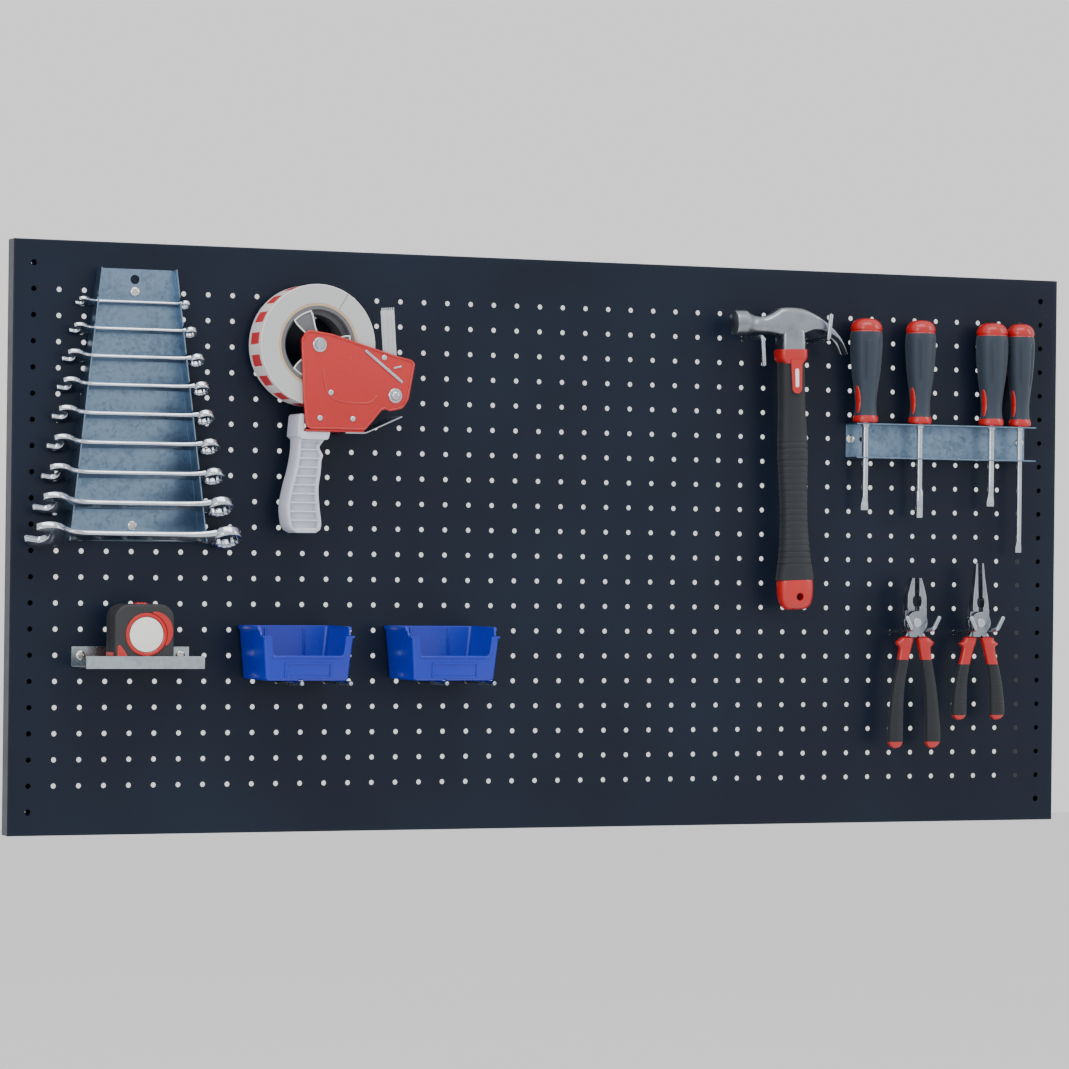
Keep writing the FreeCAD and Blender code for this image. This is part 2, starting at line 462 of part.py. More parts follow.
def pliers(i, label):
    # two crossing halves: one owns the front layer of the joint, the other the back layer
    # the larger joint sets how high above the rods both pliers turn
    span = f"(joint_dia_1 / 2 + {ROD} / 2 + joint_rest)"
    over = f"sqrt({span} * {span} - hole_pitch * hole_pitch / 4)"
    turn_z = f"pliers_row * hole_pitch + pliers_y * tan(rod_rise) + {over}"
    seat = (f"pliers_col_{i} * hole_pitch", f"{FRONT} - pliers_y", turn_z)
    joint, jaw_long = f"joint_dia_{i}", f"pliers_jaw_{i}"
    tip, wide, low = f"pliers_tip_w_{i}", f"pliers_jaw_w_{i}", f"pliers_grip_{i}"
    clear = f"({joint} / 2 + 0.5)"
    for name, side in (("left", 1), ("right", -1)):
        # side 1 has its handle on the left, its jaw on the right and the front layer
        layer = ("-pliers_thick / 2", "-layer_gap / 2") if side > 0 else \
                ("layer_gap / 2", "pliers_thick / 2")
        disc = rod(joint, "(pliers_thick - layer_gap) / 2", 0, layer[1], 0, X, 90)
        inner, outer = f"{side} * jaw_gap / 2", f"{side} * (jaw_gap / 2 + {wide})"
        jaw = pad([(inner, clear), (outer, f"{clear} - 1.5"), (outer, f"{jaw_long} * 0.47"),
                   (f"{side} * (jaw_gap / 2 + {tip})", jaw_long), (inner, jaw_long)],
                  "pliers_thick", "pliers_thick / 2")
        xs = (inner, outer) if side > 0 else (outer, inner)
        bridge = box(xs, layer, ("0", f"{clear} + 1"))
        round_cut = rod("jaw_gap * 2.2", "pliers_thick + 2", 0, "pliers_thick / 2 + 1",
                        f"{jaw_long} * 0.48", X, 90)
        ends = (f"{-side} * 4 - tang_w / 2", f"{-side} * 4 + tang_w / 2")
        tang_top = box(ends, layer, (f"-{clear} - 1", "-2"))
        tang = box((0, "tang_w"), ("-tang_deep / 2", "tang_deep / 2"), (0, "tang_long"))
        lean = f"{side} * tang_turn"
        put(tang, f"{-side} * 4 - tang_w / 2 * cos(tang_turn) + {-side} * tang_long * sin(tang_turn)",
            "-tang_deep / 2", f"-{clear} + {side} * tang_w / 2 * sin(tang_turn)"
            " - tang_long * cos(tang_turn)", Y, lean)
        bore = rod("rivet_dia", "pliers_thick + 2", 0, "pliers_thick / 2 + 1", 0, X, 90)
        metal = cut(join(disc, bridge, jaw, tang_top, tang), round_cut, bore)
        piece(put(metal, *seat), f"{label}_{name}_half")
        spread = f"pliers_spread_{i}"
        path = ((0, 0.42, 0.94), (0.2, 0.6, 0.72), (0.5, 0.9, 0.78), (0.9, 1, 1.05), (1, 1, 0.7))
        sleeve = loft([oval(f"{-side} * {spread} * {out}", 0, f"-grip_top - ({low} - grip_top) * {at}",
                            f"pliers_grip_w / 2 * {k}", f"grip_deep / 2 * {min(k, 1) * 0.98}")
                       for at, out, k in path])
        piece(put(cut(sleeve, tang), *seat), f"{label}_{name}_grip")
    pin = rod("rivet_dia - 2 * run_fit", "pliers_thick + 1", 0, "pliers_thick / 2 + 0.5", 0, X, 90)
    heads = [rod("rivet_dia + 2", "rivet_head", 0, y, 0, X, 90)
             for y in ("pliers_thick / 2 + rivet_head + 0.1", "-pliers_thick / 2 - 0.1")]
    piece(put(join(pin, *heads), *seat), f"{label}_rivet")


def tapeMeasure():
    half, deep = "measure_w / 2", "measure_thick / 2"
    seat = ("measure_x", f"{FRONT} - measure_y", "shelf_z + zinc_wall + loose")
    block = box((f"-{half}", half), (f"-{deep}", deep), (0, "measure_tall"))
    doc.recompute()
    rounded = doc.addObject("Part::Fillet", "Rounded")
    rounded.Base = block
    top = number("measure_tall")
    radius = number("measure_round")
    edges = []
    for n, edge in enumerate(block.Shape.Edges, 1):
        middle = edge.CenterOfMass
        if abs(middle.y) < 1e-6:                    # the four edges that run front to back
            right_low = middle.z < top / 2 and middle.x > 0
            r = radius if middle.z > top / 2 or right_low else radius * 0.3
            edges.append((n, r, r))
    rounded.Edges = edges
    mouth = box((f"-{half} - 1", f"-{half} + tape_in + 1"),
                ("-tape_w / 2 - loose", "tape_w / 2 + loose"),
                ("tape_up - loose", "tape_up + tape_thick + loose"))
    well = box(("-lock_w / 2 - loose", "lock_w / 2 + loose"),
               ("-lock_deep / 2 - loose", "lock_deep / 2 + loose"),
               ("measure_tall - 2 * lock_stands", "measure_tall + 1"))
    piece(put(cut(rounded, mouth, well), *seat), "measure_case")
    strip = box((f"-{half} - 1", f"-{half} + tape_in"), ("-tape_w / 2", "tape_w / 2"),
                ("tape_up", "tape_up + tape_thick"))
    catch = box((f"-{half} - catch_off - catch_thick", f"-{half} - catch_off"),
                ("-tape_w / 2", "tape_w / 2"), ("tape_up - catch_low", "tape_up + tape_thick"))
    piece(put(join(strip, catch), *seat), "measure_tape")
    button = box(("-lock_w / 2", "lock_w / 2"), ("-lock_deep / 2", "lock_deep / 2"),
                 ("measure_tall - lock_stands + loose", "measure_tall + lock_stands * 0.4"))
    ridges = [rod("lock_stands / 2", "lock_deep", f"lock_w * {k} / 4", "lock_deep / 2",
                  "measure_tall + lock_stands * 0.4", X, 90) for k in (-1, 0, 1)]
    piece(put(join(button, *ridges), *seat), "measure_lock")


def dispenser():
    # the gun's own frame has its origin on the roll's axis, at the back of the roll; the bore of
    # the hub hangs a fixed way above the rod
    hang = f"gun_row * hole_pitch + {ROD} / 2 + gun_hang"
    seat = ("gun_x", f"{FRONT} - gun_y", f"{hang} - core_dia / 2 + core_fit + hub_back_wall")
    face = "(-roll_wide - plate_gap)"                # the back of the side plate
    outline = [(-19, 5), (-13, 14.5), (13, 11), ("roller_x + 1", -8.5), ("roller_x + 17", -12),
               ("roller_x + 20.5", -16), ("roller_x + 14", -51), ("roller_x + 8", -60),
               ("roller_x - 6", -63), ("roller_x - 12", -60), ("plate_right", "-plate_low"),
               ("-plate_left", "-plate_low"), ("-plate_left - 3", -54)]
    plate = pad(outline, "plate_wall", face)
    plate_back = f"{face} - plate_wall"
    shelf = box(("-plate_left", "plate_right"), (plate_back, "-plate_wall"),
                ("-plate_low - plate_shelf", "-plate_low"))
    axle = rod("axle_dia", "hub_web + plate_gap + plate_wall + 2", 0, f"{face} + hub_web + plate_gap",
               0, X, 90)
    nut = rod("axle_dia * 1.7", 3, 0, plate_back, 0, X, 90)
    spindle = rod("axle_dia - 2", "roll_wide + plate_gap + 3", "roller_x", "-1", "-roller_z", X, 90)
    piece(put(join(plate, shelf, axle, nut, spindle), *seat), "dispenser_frame")
    levels = ((0, -4, 1.0), (0.2, -6, 0.92), (0.38, -8, 0.98), (0.56, -11.5, 1.08),
              (0.74, -12.5, 1.28), (0.92, -10, 1.22), (1, -9, 0.8))
    top = "(plate_low + plate_shelf)"
    grip = loft([oval(across, "-roll_wide / 2 - 2", f"-{top} - (handle_low - {top}) * {at}",
                      f"handle_w / 2 * {k}", f"handle_deep / 2 * {min(k, 1.1)}")
                 for at, across, k in levels])
    piece(put(grip, *seat), "dispenser_handle")
    inner = "core_dia - 2 * core_fit"
    rim = rod(inner, "roll_wide", 0, 0, 0, X, 90)
    bore = rod(f"{inner} - 2 * hub_back_wall", "roll_wide + 2", 0, 1, 0, X, 90)
    wide_bore = rod(f"{inner} - 2 * hub_wall", "hub_open", 0, "-roll_wide + hub_open - 1", 0, X, 90)
    boss = rod("axle_dia * 2.4", "hub_web", 0, "-roll_wide + hub_web", 0, X, 90)
    arms = [rod("hub_web", f"({inner}) / 2 - hub_wall / 2", 0, "-roll_wide + hub_web / 2", 0,
                Y, 90 + 120 * k) for k in range(3)]
    shaft = rod("axle_dia + 2 * run_fit", "roll_wide + 2", 0, 1, 0, X, 90)
    piece(put(cut(join(cut(rim, bore, wide_bore), boss, *arms), shaft), *seat), "dispenser_hub")
    tape = cut(rod("roll_dia", "roll_wide", 0, 0, 0, X, 90),
               rod("core_dia", "roll_wide + 2", 0, 1, 0, X, 90))
    piece(put(tape, *seat), "tape_roll")
    roller = cut(rod("roller_dia", "roll_wide - 2", "roller_x", "-1.5", "-roller_z", X, 90),
                 rod("axle_dia - 2 + 2 * run_fit", "roll_wide + 4", "roller_x", 1, "-roller_z", X, 90))
    piece(put(roller, *seat), "dispenser_roller")
    # the blade's far edge is a row of teeth, and a rivet hole holds it to the bottom flange
    knee, under = "(plate_right + 0.5)", "(-plate_low - plate_shelf - cutter_wall)"
    wide = (f"{plate_back} + 0.5", "-plate_wall")
    foot = box(("plate_right - cutter_foot + 0.5", f"{knee} + 0.1"), wide,
               (under, f"{under} + cutter_wall"))
    knife = box((0, "cutter_long"), wide, (0, "cutter_wall"))
    put(knife, knee, wide[0], under, Y, "-cutter_lean")
    # each tooth's gap is a round cut square to the blade, centred just past its far edge
    far = "(cutter_long + tooth / 8)"
    teeth = [rod("tooth", 4, f"{knee} + {far} * cos(cutter_lean) + 1.6 * sin(cutter_lean)",
                 f"{plate_back} + tooth * {k + 0.5}",
                 f"{under} + {far} * sin(cutter_lean) - 1.6 * cos(cutter_lean)", Y, "-cutter_lean")
             for k in range(10)]
    piece(put(cut(join(foot, knife), *teeth), *seat), "dispenser_cutter")
    flap = box((0, "flap_w"), (0, 1), (0, "flap_long"))
    put(flap, "roller_x - 12", face, -12, Y, -4)
    eye = rod(ROD, 4, "roller_x - 12 + flap_w / 2", f"{face} + 3", -5, X, 90)
    piece(put(cut(flap, eye), *seat), "dispenser_flap")


def openBin(i, label):
    seat = {"x": f"bin_x_{i}", "y": f"{FRONT} - bin_off_board",
            "z": f"bin_row * hole_pitch + {ROD} / 2 + loose"}
    low, high = "bin_low_w / 2", "bin_w / 2"
    outer = wedge(low, high, "bin_tall", ("0", "bin_low_deep"), ("0", "bin_deep"))
    inner = wedge(f"{low} - bin_wall", f"{high} - bin_wall", "bin_tall + 1",
                  ("bin_wall", "bin_low_deep - bin_wall"), ("bin_wall", "bin_deep - bin_wall"),
                  z="bin_wall")
    mouth = box(("-bin_open_w / 2", "bin_open_w / 2"), ("-bin_deep - 1", "-bin_low_deep + 4"),
                ("bin_front_tall", "bin_tall + 1"))
    step = box(("-bin_w", "bin_w"), ("-bin_deep - 1", "-bin_deep + bin_step_deep"),
               ("bin_tall - bin_step", "bin_tall + 1"))
    piece(put(cut(outer, inner, mouth, step), **seat), label)


perforatedSheet()
boardFrame()
wrenchRack()
driverRack()
tapeShelf()
rackScrews()
hooks()
for which in range(1, 10):
    wrench(which)
for which in range(1, 5):
    screwdriver(which)
hammer()
pliers(1, "combination_pliers")
pliers(2, "long_nose_pliers")
tapeMeasure()
dispenser()
openBin(1, "left_bin")
openBin(2, "right_bin")
doc.recompute()

for thing in doc.Objects:
    if "Invalid" in thing.State or "Error" in thing.State:
        raise SystemExit("%s %s: %s" % (thing.Name, thing.Label, thing.State))
for thing in pieces:
    if thing.Shape.isNull() or not thing.Shape.isValid() or not thing.Shape.Solids:
        raise SystemExit("%s has no valid solid" % thing.Label)
os.makedirs("parts", exist_ok=True)
for thing in pieces:
    thing.Shape.exportStep("parts/%s.step" % thing.Label)
print(len(pieces), "pieces written")
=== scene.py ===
import math
import bpy
import bmesh
import numpy as np
from mathutils import Matrix, Vector


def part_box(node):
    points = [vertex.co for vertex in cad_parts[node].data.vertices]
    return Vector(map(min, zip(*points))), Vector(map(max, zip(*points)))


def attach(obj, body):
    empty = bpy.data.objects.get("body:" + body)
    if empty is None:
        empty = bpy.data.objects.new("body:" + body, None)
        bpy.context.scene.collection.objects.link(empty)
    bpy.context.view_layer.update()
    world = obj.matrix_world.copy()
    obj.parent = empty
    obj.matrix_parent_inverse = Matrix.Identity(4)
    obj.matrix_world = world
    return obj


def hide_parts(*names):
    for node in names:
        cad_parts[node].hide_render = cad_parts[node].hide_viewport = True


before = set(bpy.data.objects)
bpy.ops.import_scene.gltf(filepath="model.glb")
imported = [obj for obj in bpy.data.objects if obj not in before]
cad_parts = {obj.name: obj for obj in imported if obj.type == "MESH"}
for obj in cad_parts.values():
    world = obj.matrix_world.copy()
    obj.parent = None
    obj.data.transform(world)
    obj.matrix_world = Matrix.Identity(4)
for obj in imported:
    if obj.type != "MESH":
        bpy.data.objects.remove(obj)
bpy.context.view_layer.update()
print("stage: the CAD frame is loaded")

mm = 0.001                  # one millimetre in scene units
mergeWithin = 1e-6          # corners nearer than this, in metres, are one corner
pitch = 25.0                # spacing of the peg holes


def box(node):
    # lowest and highest corner of a CAD node, in millimetres
    low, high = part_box(node)
    return np.array(low) / mm, np.array(high) / mm


boardLow, boardHigh = box("perforated_sheet")
boardFace, boardBehind = boardLow[1], boardHigh[1]      # front and back of the sheet


# shapes: each helper gives (vertices, faces), and a list of those makes one piece

def smoothCurve(points, count):
    # a curve through the points: cubic steps whose slopes are the averages of the neighbours'
    points = np.array(points, float)
    slopes = np.gradient(points, axis=0)
    at = np.linspace(0, len(points) - 1, count)
    i = np.minimum(at.astype(int), len(points) - 2)
    t = (at - i)[:, None]
    return ((2 * t ** 3 - 3 * t ** 2 + 1) * points[i] + (t ** 3 - 2 * t ** 2 + t) * slopes[i]
            + (3 * t ** 2 - 2 * t ** 3) * points[i + 1] + (t ** 3 - t ** 2) * slopes[i + 1])


def ease(value, start, end):
    # 0 before start, 1 after end, and a smooth step between them
    t = np.clip((value - start) / (end - start), 0, 1)
    return t * t * (3 - 2 * t)


def gridShell(points, closedAcross=True, closedAlong=False, capped=True):
    # points (rows, columns, 3): quads between neighbours, and one flat face over each open end
    rows, columns = points.shape[:2]
    index = np.arange(rows * columns).reshape(rows, columns)
    if closedAcross:
        index = np.hstack([index, index[:, :1]])
    if closedAlong:
        index = np.vstack([index, index[:1]])
    quads = np.stack([index[:-1, :-1], index[:-1, 1:], index[1:, 1:], index[1:, :-1]], -1)
    faces = quads.reshape(-1, 4).tolist()
    if capped and closedAcross and not closedAlong:
        faces += [index[0, :columns][::-1].tolist(), index[-1, :columns].tolist()]
    return points.reshape(-1, 3), faces


def ringOf(count, squareness=2.0):
    # unit superellipse: |a|^n + |b|^n = 1, from a round ring at n=2 to a box with soft corners
    angle = np.linspace(0, 2 * math.pi, count, endpoint=False)
    c, s = np.cos(angle), np.sin(angle)
    power = 2.0 / squareness
    return np.sign(c) * np.abs(c) ** power, np.sign(s) * np.abs(s) ** power


def lathe(profile, steps=48, wave=None, looped=False):
    # profile (radius, height) turned about Z; wave(angle, height) scales the radius; a looped
    # profile makes a ring
    profile = np.array(profile, float)
    angle = np.linspace(0, 2 * math.pi, steps, endpoint=False)[None, :]
    radius, height = profile[:, :1], profile[:, 1:2] + 0 * angle
    if wave is not None:
        radius = radius * wave(angle, height)
    return gridShell(np.stack([radius * np.cos(angle), radius * np.sin(angle), height], -1),
                     closedAlong=looped)


def slab(outline, thick, edge=0.4, steps=3, hole=None):
    # a plate across Z with rounded edges: the outline shrinks along its inward normals as a
    # quarter circle at each face; hole is an inner outline with as many points
    outline = np.array(outline, float)

    def rings(line, grow):
        along = np.roll(line, -1, 0) - np.roll(line, 1, 0)
        normal = np.stack([along[:, 1], -along[:, 0]], 1) * grow
        normal /= np.maximum(np.linalg.norm(normal, axis=1, keepdims=True), 1e-9)
        turn = np.linspace(0, math.pi / 2, steps + 1)
        inward = edge * (1 - np.cos(turn))
        rise = edge * np.sin(turn)
        top = [(line - normal * inset, thick / 2 - edge + up) for inset, up in zip(inward, rise)]
        both = [(flat, -z) for flat, z in top[::-1]] + top
        return np.stack([np.column_stack([flat, np.full(len(flat), z)]) for flat, z in both])

    outer = rings(outline, 1)
    if hole is None:
        return gridShell(outer)
    inner = rings(np.array(hole, float), -1)[::-1]
    return gridShell(np.concatenate([outer, inner]), closedAlong=True)


def shrunk(outline, by):
    # the same outline moved inwards along its normals; it runs anticlockwise
    outline = np.array(outline, float)
    along = np.roll(outline, -1, 0) - np.roll(outline, 1, 0)
    normal = np.stack([along[:, 1], -along[:, 0]], 1)
    return outline - by * normal / np.linalg.norm(normal, axis=1, keepdims=True)


def rounded(corners, radius, steps=6):
    # the corner points of an outline, each replaced by an arc that touches both its sides
    corners = np.array(corners, float)
    radius = np.broadcast_to(radius, len(corners))
    out = []
    for i, corner in enumerate(corners):
        back, ahead = corners[i - 1] - corner, corners[(i + 1) % len(corners)] - corner
        back, ahead = back / np.linalg.norm(back), ahead / np.linalg.norm(ahead)
        half = math.acos(max(-1.0, min(1.0, float(back @ ahead)))) / 2
        reach = radius[i] / math.tan(half)
        inward = (back + ahead) / np.linalg.norm(back + ahead)
        middle = corner + inward * radius[i] / math.sin(half)
        a, b = corner + back * reach - middle, corner + ahead * reach - middle
        sweep = math.atan2(a[0] * b[1] - a[1] * b[0], float(a @ b))
        turn = np.linspace(0, sweep, steps + 1)
        out.append(middle + np.outer(np.cos(turn), a) + np.outer(np.sin(turn), [-a[1], a[0]]))
    return np.concatenate(out)


def disc(radius, count=48):
    # points evenly round a circle: radius times cosine and sine
    angle = np.linspace(0, 2 * math.pi, count, endpoint=False)
    return radius * np.stack([np.cos(angle), np.sin(angle)], 1)


def wire(points, dia, bend=4.0):
    # a round bar along straight runs, each corner an arc of the bend radius, its ends domed
    points = [np.array(p, float) for p in points]
    line = [points[0]]
    for before, corner, after in zip(points, points[1:], points[2:]):
        back, ahead = before - corner, after - corner
        reach = min(bend, 0.45 * np.linalg.norm(back), 0.45 * np.linalg.norm(ahead))
        a = corner + back / np.linalg.norm(back) * reach
        b = corner + ahead / np.linalg.norm(ahead) * reach
        t = np.linspace(0, 1, 9)[:, None]
        line += list((1 - t) ** 2 * a + 2 * t * (1 - t) * corner + t * t * b)
    return sweepRound(np.array(line + [points[-1]]), dia)


def sweepRound(line, dia, sides=16):
    # a round section carried along a line, its frame turned from step to step by projection;
    # both ends close in domes
    along = np.gradient(line, axis=0)
    along /= np.linalg.norm(along, axis=1, keepdims=True)
    start = np.array([0, 1, 0]) if abs(along[0][1]) < 0.9 else np.array([1, 0, 0])
    across = []
    for way in along:
        start = start - way * (start @ way)
        start = start / np.linalg.norm(start)
        across.append(start)
    across = np.array(across)
    second = np.cross(along, across)
    turn = np.linspace(0, 1, 5)[:-1]
    close = np.sqrt(np.maximum(1 - (1 - turn) ** 2, 0.02))
    head = line[0] - along[0] * dia / 2 * (1 - turn)[:, None] * 0.9
    tail = line[-1] + along[-1] * dia / 2 * (1 - turn[::-1])[:, None] * 0.9
    radius = (dia / 2 * np.concatenate([close, np.ones(len(line)), close[::-1]]))[:, None, None]
    line = np.concatenate([head, line, tail])
    across = np.concatenate([across[:1].repeat(4, 0), across, across[-1:].repeat(4, 0)])
    second = np.concatenate([second[:1].repeat(4, 0), second, second[-1:].repeat(4, 0)])
    a, b = ringOf(sides)
    return gridShell(line[:, None] + radius * (a[None, :, None] * across[:, None]
                                               + b[None, :, None] * second[:, None]))


def moved(shell, offset=(0, 0, 0), turn=None):
    # the shell turned about the origin, then shifted
    points, faces = shell
    if turn is not None:
        points = points @ np.array(turn.to_3x3(), float).T
    return points + np.array(offset, float), faces


def turned(degrees, axis):
    return Matrix.Rotation(math.radians(degrees), 4, axis)


faceFront = turned(90, "X")        # a shape across Z comes to look along -Y


def meshOf(name, shells):
    # shells in millimetres become one mesh object in metres
    points = np.concatenate([p for p, _ in shells])
    starts = np.cumsum([0] + [len(p) for p, _ in shells])
    faces = [[v + start for v in face]
             for start, (_, part) in zip(starts, shells) for face in part]
    mesh = bpy.data.meshes.new(name)
    mesh.from_pydata((points * mm).tolist(), [], faces)
    thing = bpy.data.objects.new(name, mesh)
    bpy.context.scene.collection.objects.link(thing)
    return thing


def settle(thing):
    # the modifiers become the mesh itself
    bpy.context.view_layer.update()
    seen = thing.evaluated_get(bpy.context.evaluated_depsgraph_get())
    done = bpy.data.meshes.new_from_object(seen)
    thing.modifiers.clear()
    thing.data = done
    return thing


def joined(thing, shell, how):
    # a boolean with one more shell, used up at once
    other = meshOf("tool", [shell])
    fixNormals(other.data)
    act = thing.modifiers.new("boolean", "BOOLEAN")
    act.object, act.operation, act.solver = other, how, "EXACT"
    settle(thing)
    bpy.data.objects.remove(other)
    return thing


def fixNormals(mesh):
    # corners that coincide become one, then every face is turned outwards
    work = bmesh.new()
    work.from_mesh(mesh)
    bmesh.ops.remove_doubles(work, verts=work.verts, dist=mergeWithin)
    bmesh.ops.recalc_face_normals(work, faces=work.faces)
    work.to_mesh(mesh)
    work.free()


def finishPiece(thing, material, body, slot, stands=(), bevel=0.0, angle=35):
    # smooth faces up to the angle, an optional broken edge, then its material and body
    mesh = thing.data
    fixNormals(mesh)
    mesh.shade_smooth()
    mesh.set_sharp_from_angle(angle=math.radians(angle))
    if bevel:
        edge = thing.modifiers.new("edges", "BEVEL")
        edge.width, edge.segments, edge.limit_method = bevel * mm, 2, "ANGLE"
        edge.angle_limit, edge.harden_normals = math.radians(30), True
    mesh.materials.clear()
    mesh.materials.append(material)
    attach(thing, body)
    if stands:
        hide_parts(*stands)
    return thing


def piece(name, shells, material, body, slot, stands=(), place=None, union=(), cut=(), **more):
    # place is (offset, turn) for the whole piece; union and cut are shells for booleans
    thing = meshOf(name, shells)
    if union or cut:
        fixNormals(thing.data)
    for shell in union:
        joined(thing, shell, "UNION")
    for shell in cut:
        joined(thing, shell, "DIFFERENCE")
    if place:
        offset, turn = place
        whole = Matrix.Translation(Vector(offset) * mm) @ (turn or Matrix.Identity(4))
        thing.data.transform(whole)
    return finishPiece(thing, material, body, slot, stands, **more)


def pressedCopy(node, material, slot, body, bevel):
    # a folded sheet-metal node with its flat facets joined and its edges broken
    thing = bpy.data.objects.new(node + "_pressed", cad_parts[node].data.copy())
    bpy.context.scene.collection.objects.link(thing)
    work = bmesh.new()
    work.from_mesh(thing.data)
    bmesh.ops.remove_doubles(work, verts=work.verts, dist=mergeWithin)
    bmesh.ops.dissolve_limit(work, angle_limit=math.radians(0.5), verts=work.verts,
                             edges=work.edges, delimit=set())
    work.to_mesh(thing.data)
    work.free()
    return finishPiece(thing, material, body, slot, (node,), bevel=bevel)


# materials: node groups hold what several finishes share

def newGroup(name, inputs, outputs):
    # an empty node group with named inputs and outputs
    group = bpy.data.node_groups.new(name, "ShaderNodeTree")
    kinds = {"vector": "NodeSocketVector", "colour": "NodeSocketColor", "value": "NodeSocketFloat"}
    for label, kind, start in inputs:
        socket = group.interface.new_socket(name=label, in_out="INPUT", socket_type=kinds[kind])
        if start is not None:
            socket.default_value = start
    for label, kind in outputs:
        group.interface.new_socket(name=label, in_out="OUTPUT", socket_type=kinds[kind])
    return group, group.nodes.new("NodeGroupInput"), group.nodes.new("NodeGroupOutput")


def addNode(tree, kind, links=None, **settings):
    # links: input name or number -> another node's output socket, or a plain value
    made = tree.nodes.new(kind)
    for key, value in settings.items():
        setattr(made, key, value)
    for key, value in (links or {}).items():
        if isinstance(value, bpy.types.NodeSocket):
            tree.links.new(value, made.inputs[key])
        else:
            made.inputs[key].default_value = value
    return made


def noise(tree, vector, scale, detail=4.0, rough=0.55, warp=0.0):
    # cloudy noise from 0 to 1
    return addNode(tree, "ShaderNodeTexNoise", {"Vector": vector, "Scale": scale, "Detail": detail,
                                                "Roughness": rough,
                                                "Distortion": warp}).outputs["Fac"]


def remap(tree, value, low, high, toLow=0.0, toHigh=1.0):
    # a straight line from low..high to toLow..toHigh, held at both ends
    return addNode(tree, "ShaderNodeMapRange", {"Value": value, "From Min": low, "From Max": high,
                                                "To Min": toLow,
                                                "To Max": toHigh}).outputs["Result"]


def calc(tree, how, a, b):
    # one sum with two values; a sum of one value leaves the second out
    return addNode(tree, "ShaderNodeMath", {0: a, 1: b}, operation=how).outputs[0]


def blendColour(tree, share, a, b):
    # a mix of two colours: share 0 gives a, 1 gives b
    made = addNode(tree, "ShaderNodeMix", data_type="RGBA")
    for socket, value in ((made.inputs["Factor"], share), (made.inputs[6], a), (made.inputs[7], b)):
        if isinstance(value, bpy.types.NodeSocket):
            tree.links.new(value, socket)
        else:
            socket.default_value = value
    return made.outputs[2]


def makeCoatGroup():
    # paint and moulded plastic: fine skin texture, slow drift of tone, dust specks and scuffs
    group, into, out = newGroup("coatFinish", [
        ("Vector", "vector", None), ("Colour", "colour", (0.5, 0.5, 0.5, 1)),
        ("Second Colour", "colour", (0.6, 0.6, 0.6, 1)),
        ("Scuff Colour", "colour", (0.7, 0.7, 0.7, 1)), ("Grain Scale", "value", 900.0),
        ("Drift", "value", 0.5), ("Scuffs", "value", 0.2), ("Roughness", "value", 0.4),
        ("Roughness Spread", "value", 0.12)],
        [("Colour", "colour"), ("Roughness", "value"), ("Height", "value")])
    at = into.outputs["Vector"]
    skin = noise(group, at, into.outputs["Grain Scale"], 2.0)
    slow = noise(group, at, 5.0, 3.0)
    cloud = noise(group, at, 46.0, 5.0, 0.62)
    drift = calc(group, "MULTIPLY", remap(group, slow, 0.35, 0.65), into.outputs["Drift"])
    tone = blendColour(group, drift, into.outputs["Colour"], into.outputs["Second Colour"])
    stretch = addNode(group, "ShaderNodeMapping", {"Vector": at, "Scale": (34.0, 34.0, 560.0),
                                                   "Rotation": (0.5, 0.3, 0.2)}).outputs[0]
    lines = noise(group, stretch, 1.0, 3.0, 0.7, 0.4)
    scratch = calc(group, "MULTIPLY", remap(group, lines, 0.66, 0.74),
                   remap(group, cloud, 0.48, 0.62))
    speck = addNode(group, "ShaderNodeTexVoronoi",
                    {"Vector": at, "Scale": 210.0, "Randomness": 1.0},
                    feature="F1").outputs["Distance"]
    dust = calc(group, "MULTIPLY", remap(group, speck, 0.09, 0.05), remap(group, cloud, 0.5, 0.66))
    worn = calc(group, "MULTIPLY", calc(group, "MAXIMUM", scratch, dust), into.outputs["Scuffs"])
    colour = blendColour(group, worn, tone, into.outputs["Scuff Colour"])
    group.links.new(colour, out.inputs["Colour"])
    spread = calc(group, "MULTIPLY", calc(group, "SUBTRACT", cloud, 0.5),
                  into.outputs["Roughness Spread"])
    base = calc(group, "ADD", into.outputs["Roughness"], calc(group, "MULTIPLY", spread, 2.0))
    group.links.new(calc(group, "ADD", base, calc(group, "MULTIPLY", worn, 0.2)),
                    out.inputs["Roughness"])
    group.links.new(calc(group, "SUBTRACT", skin, calc(group, "MULTIPLY", scratch, 0.4)),
                    out.inputs["Height"])
    return group


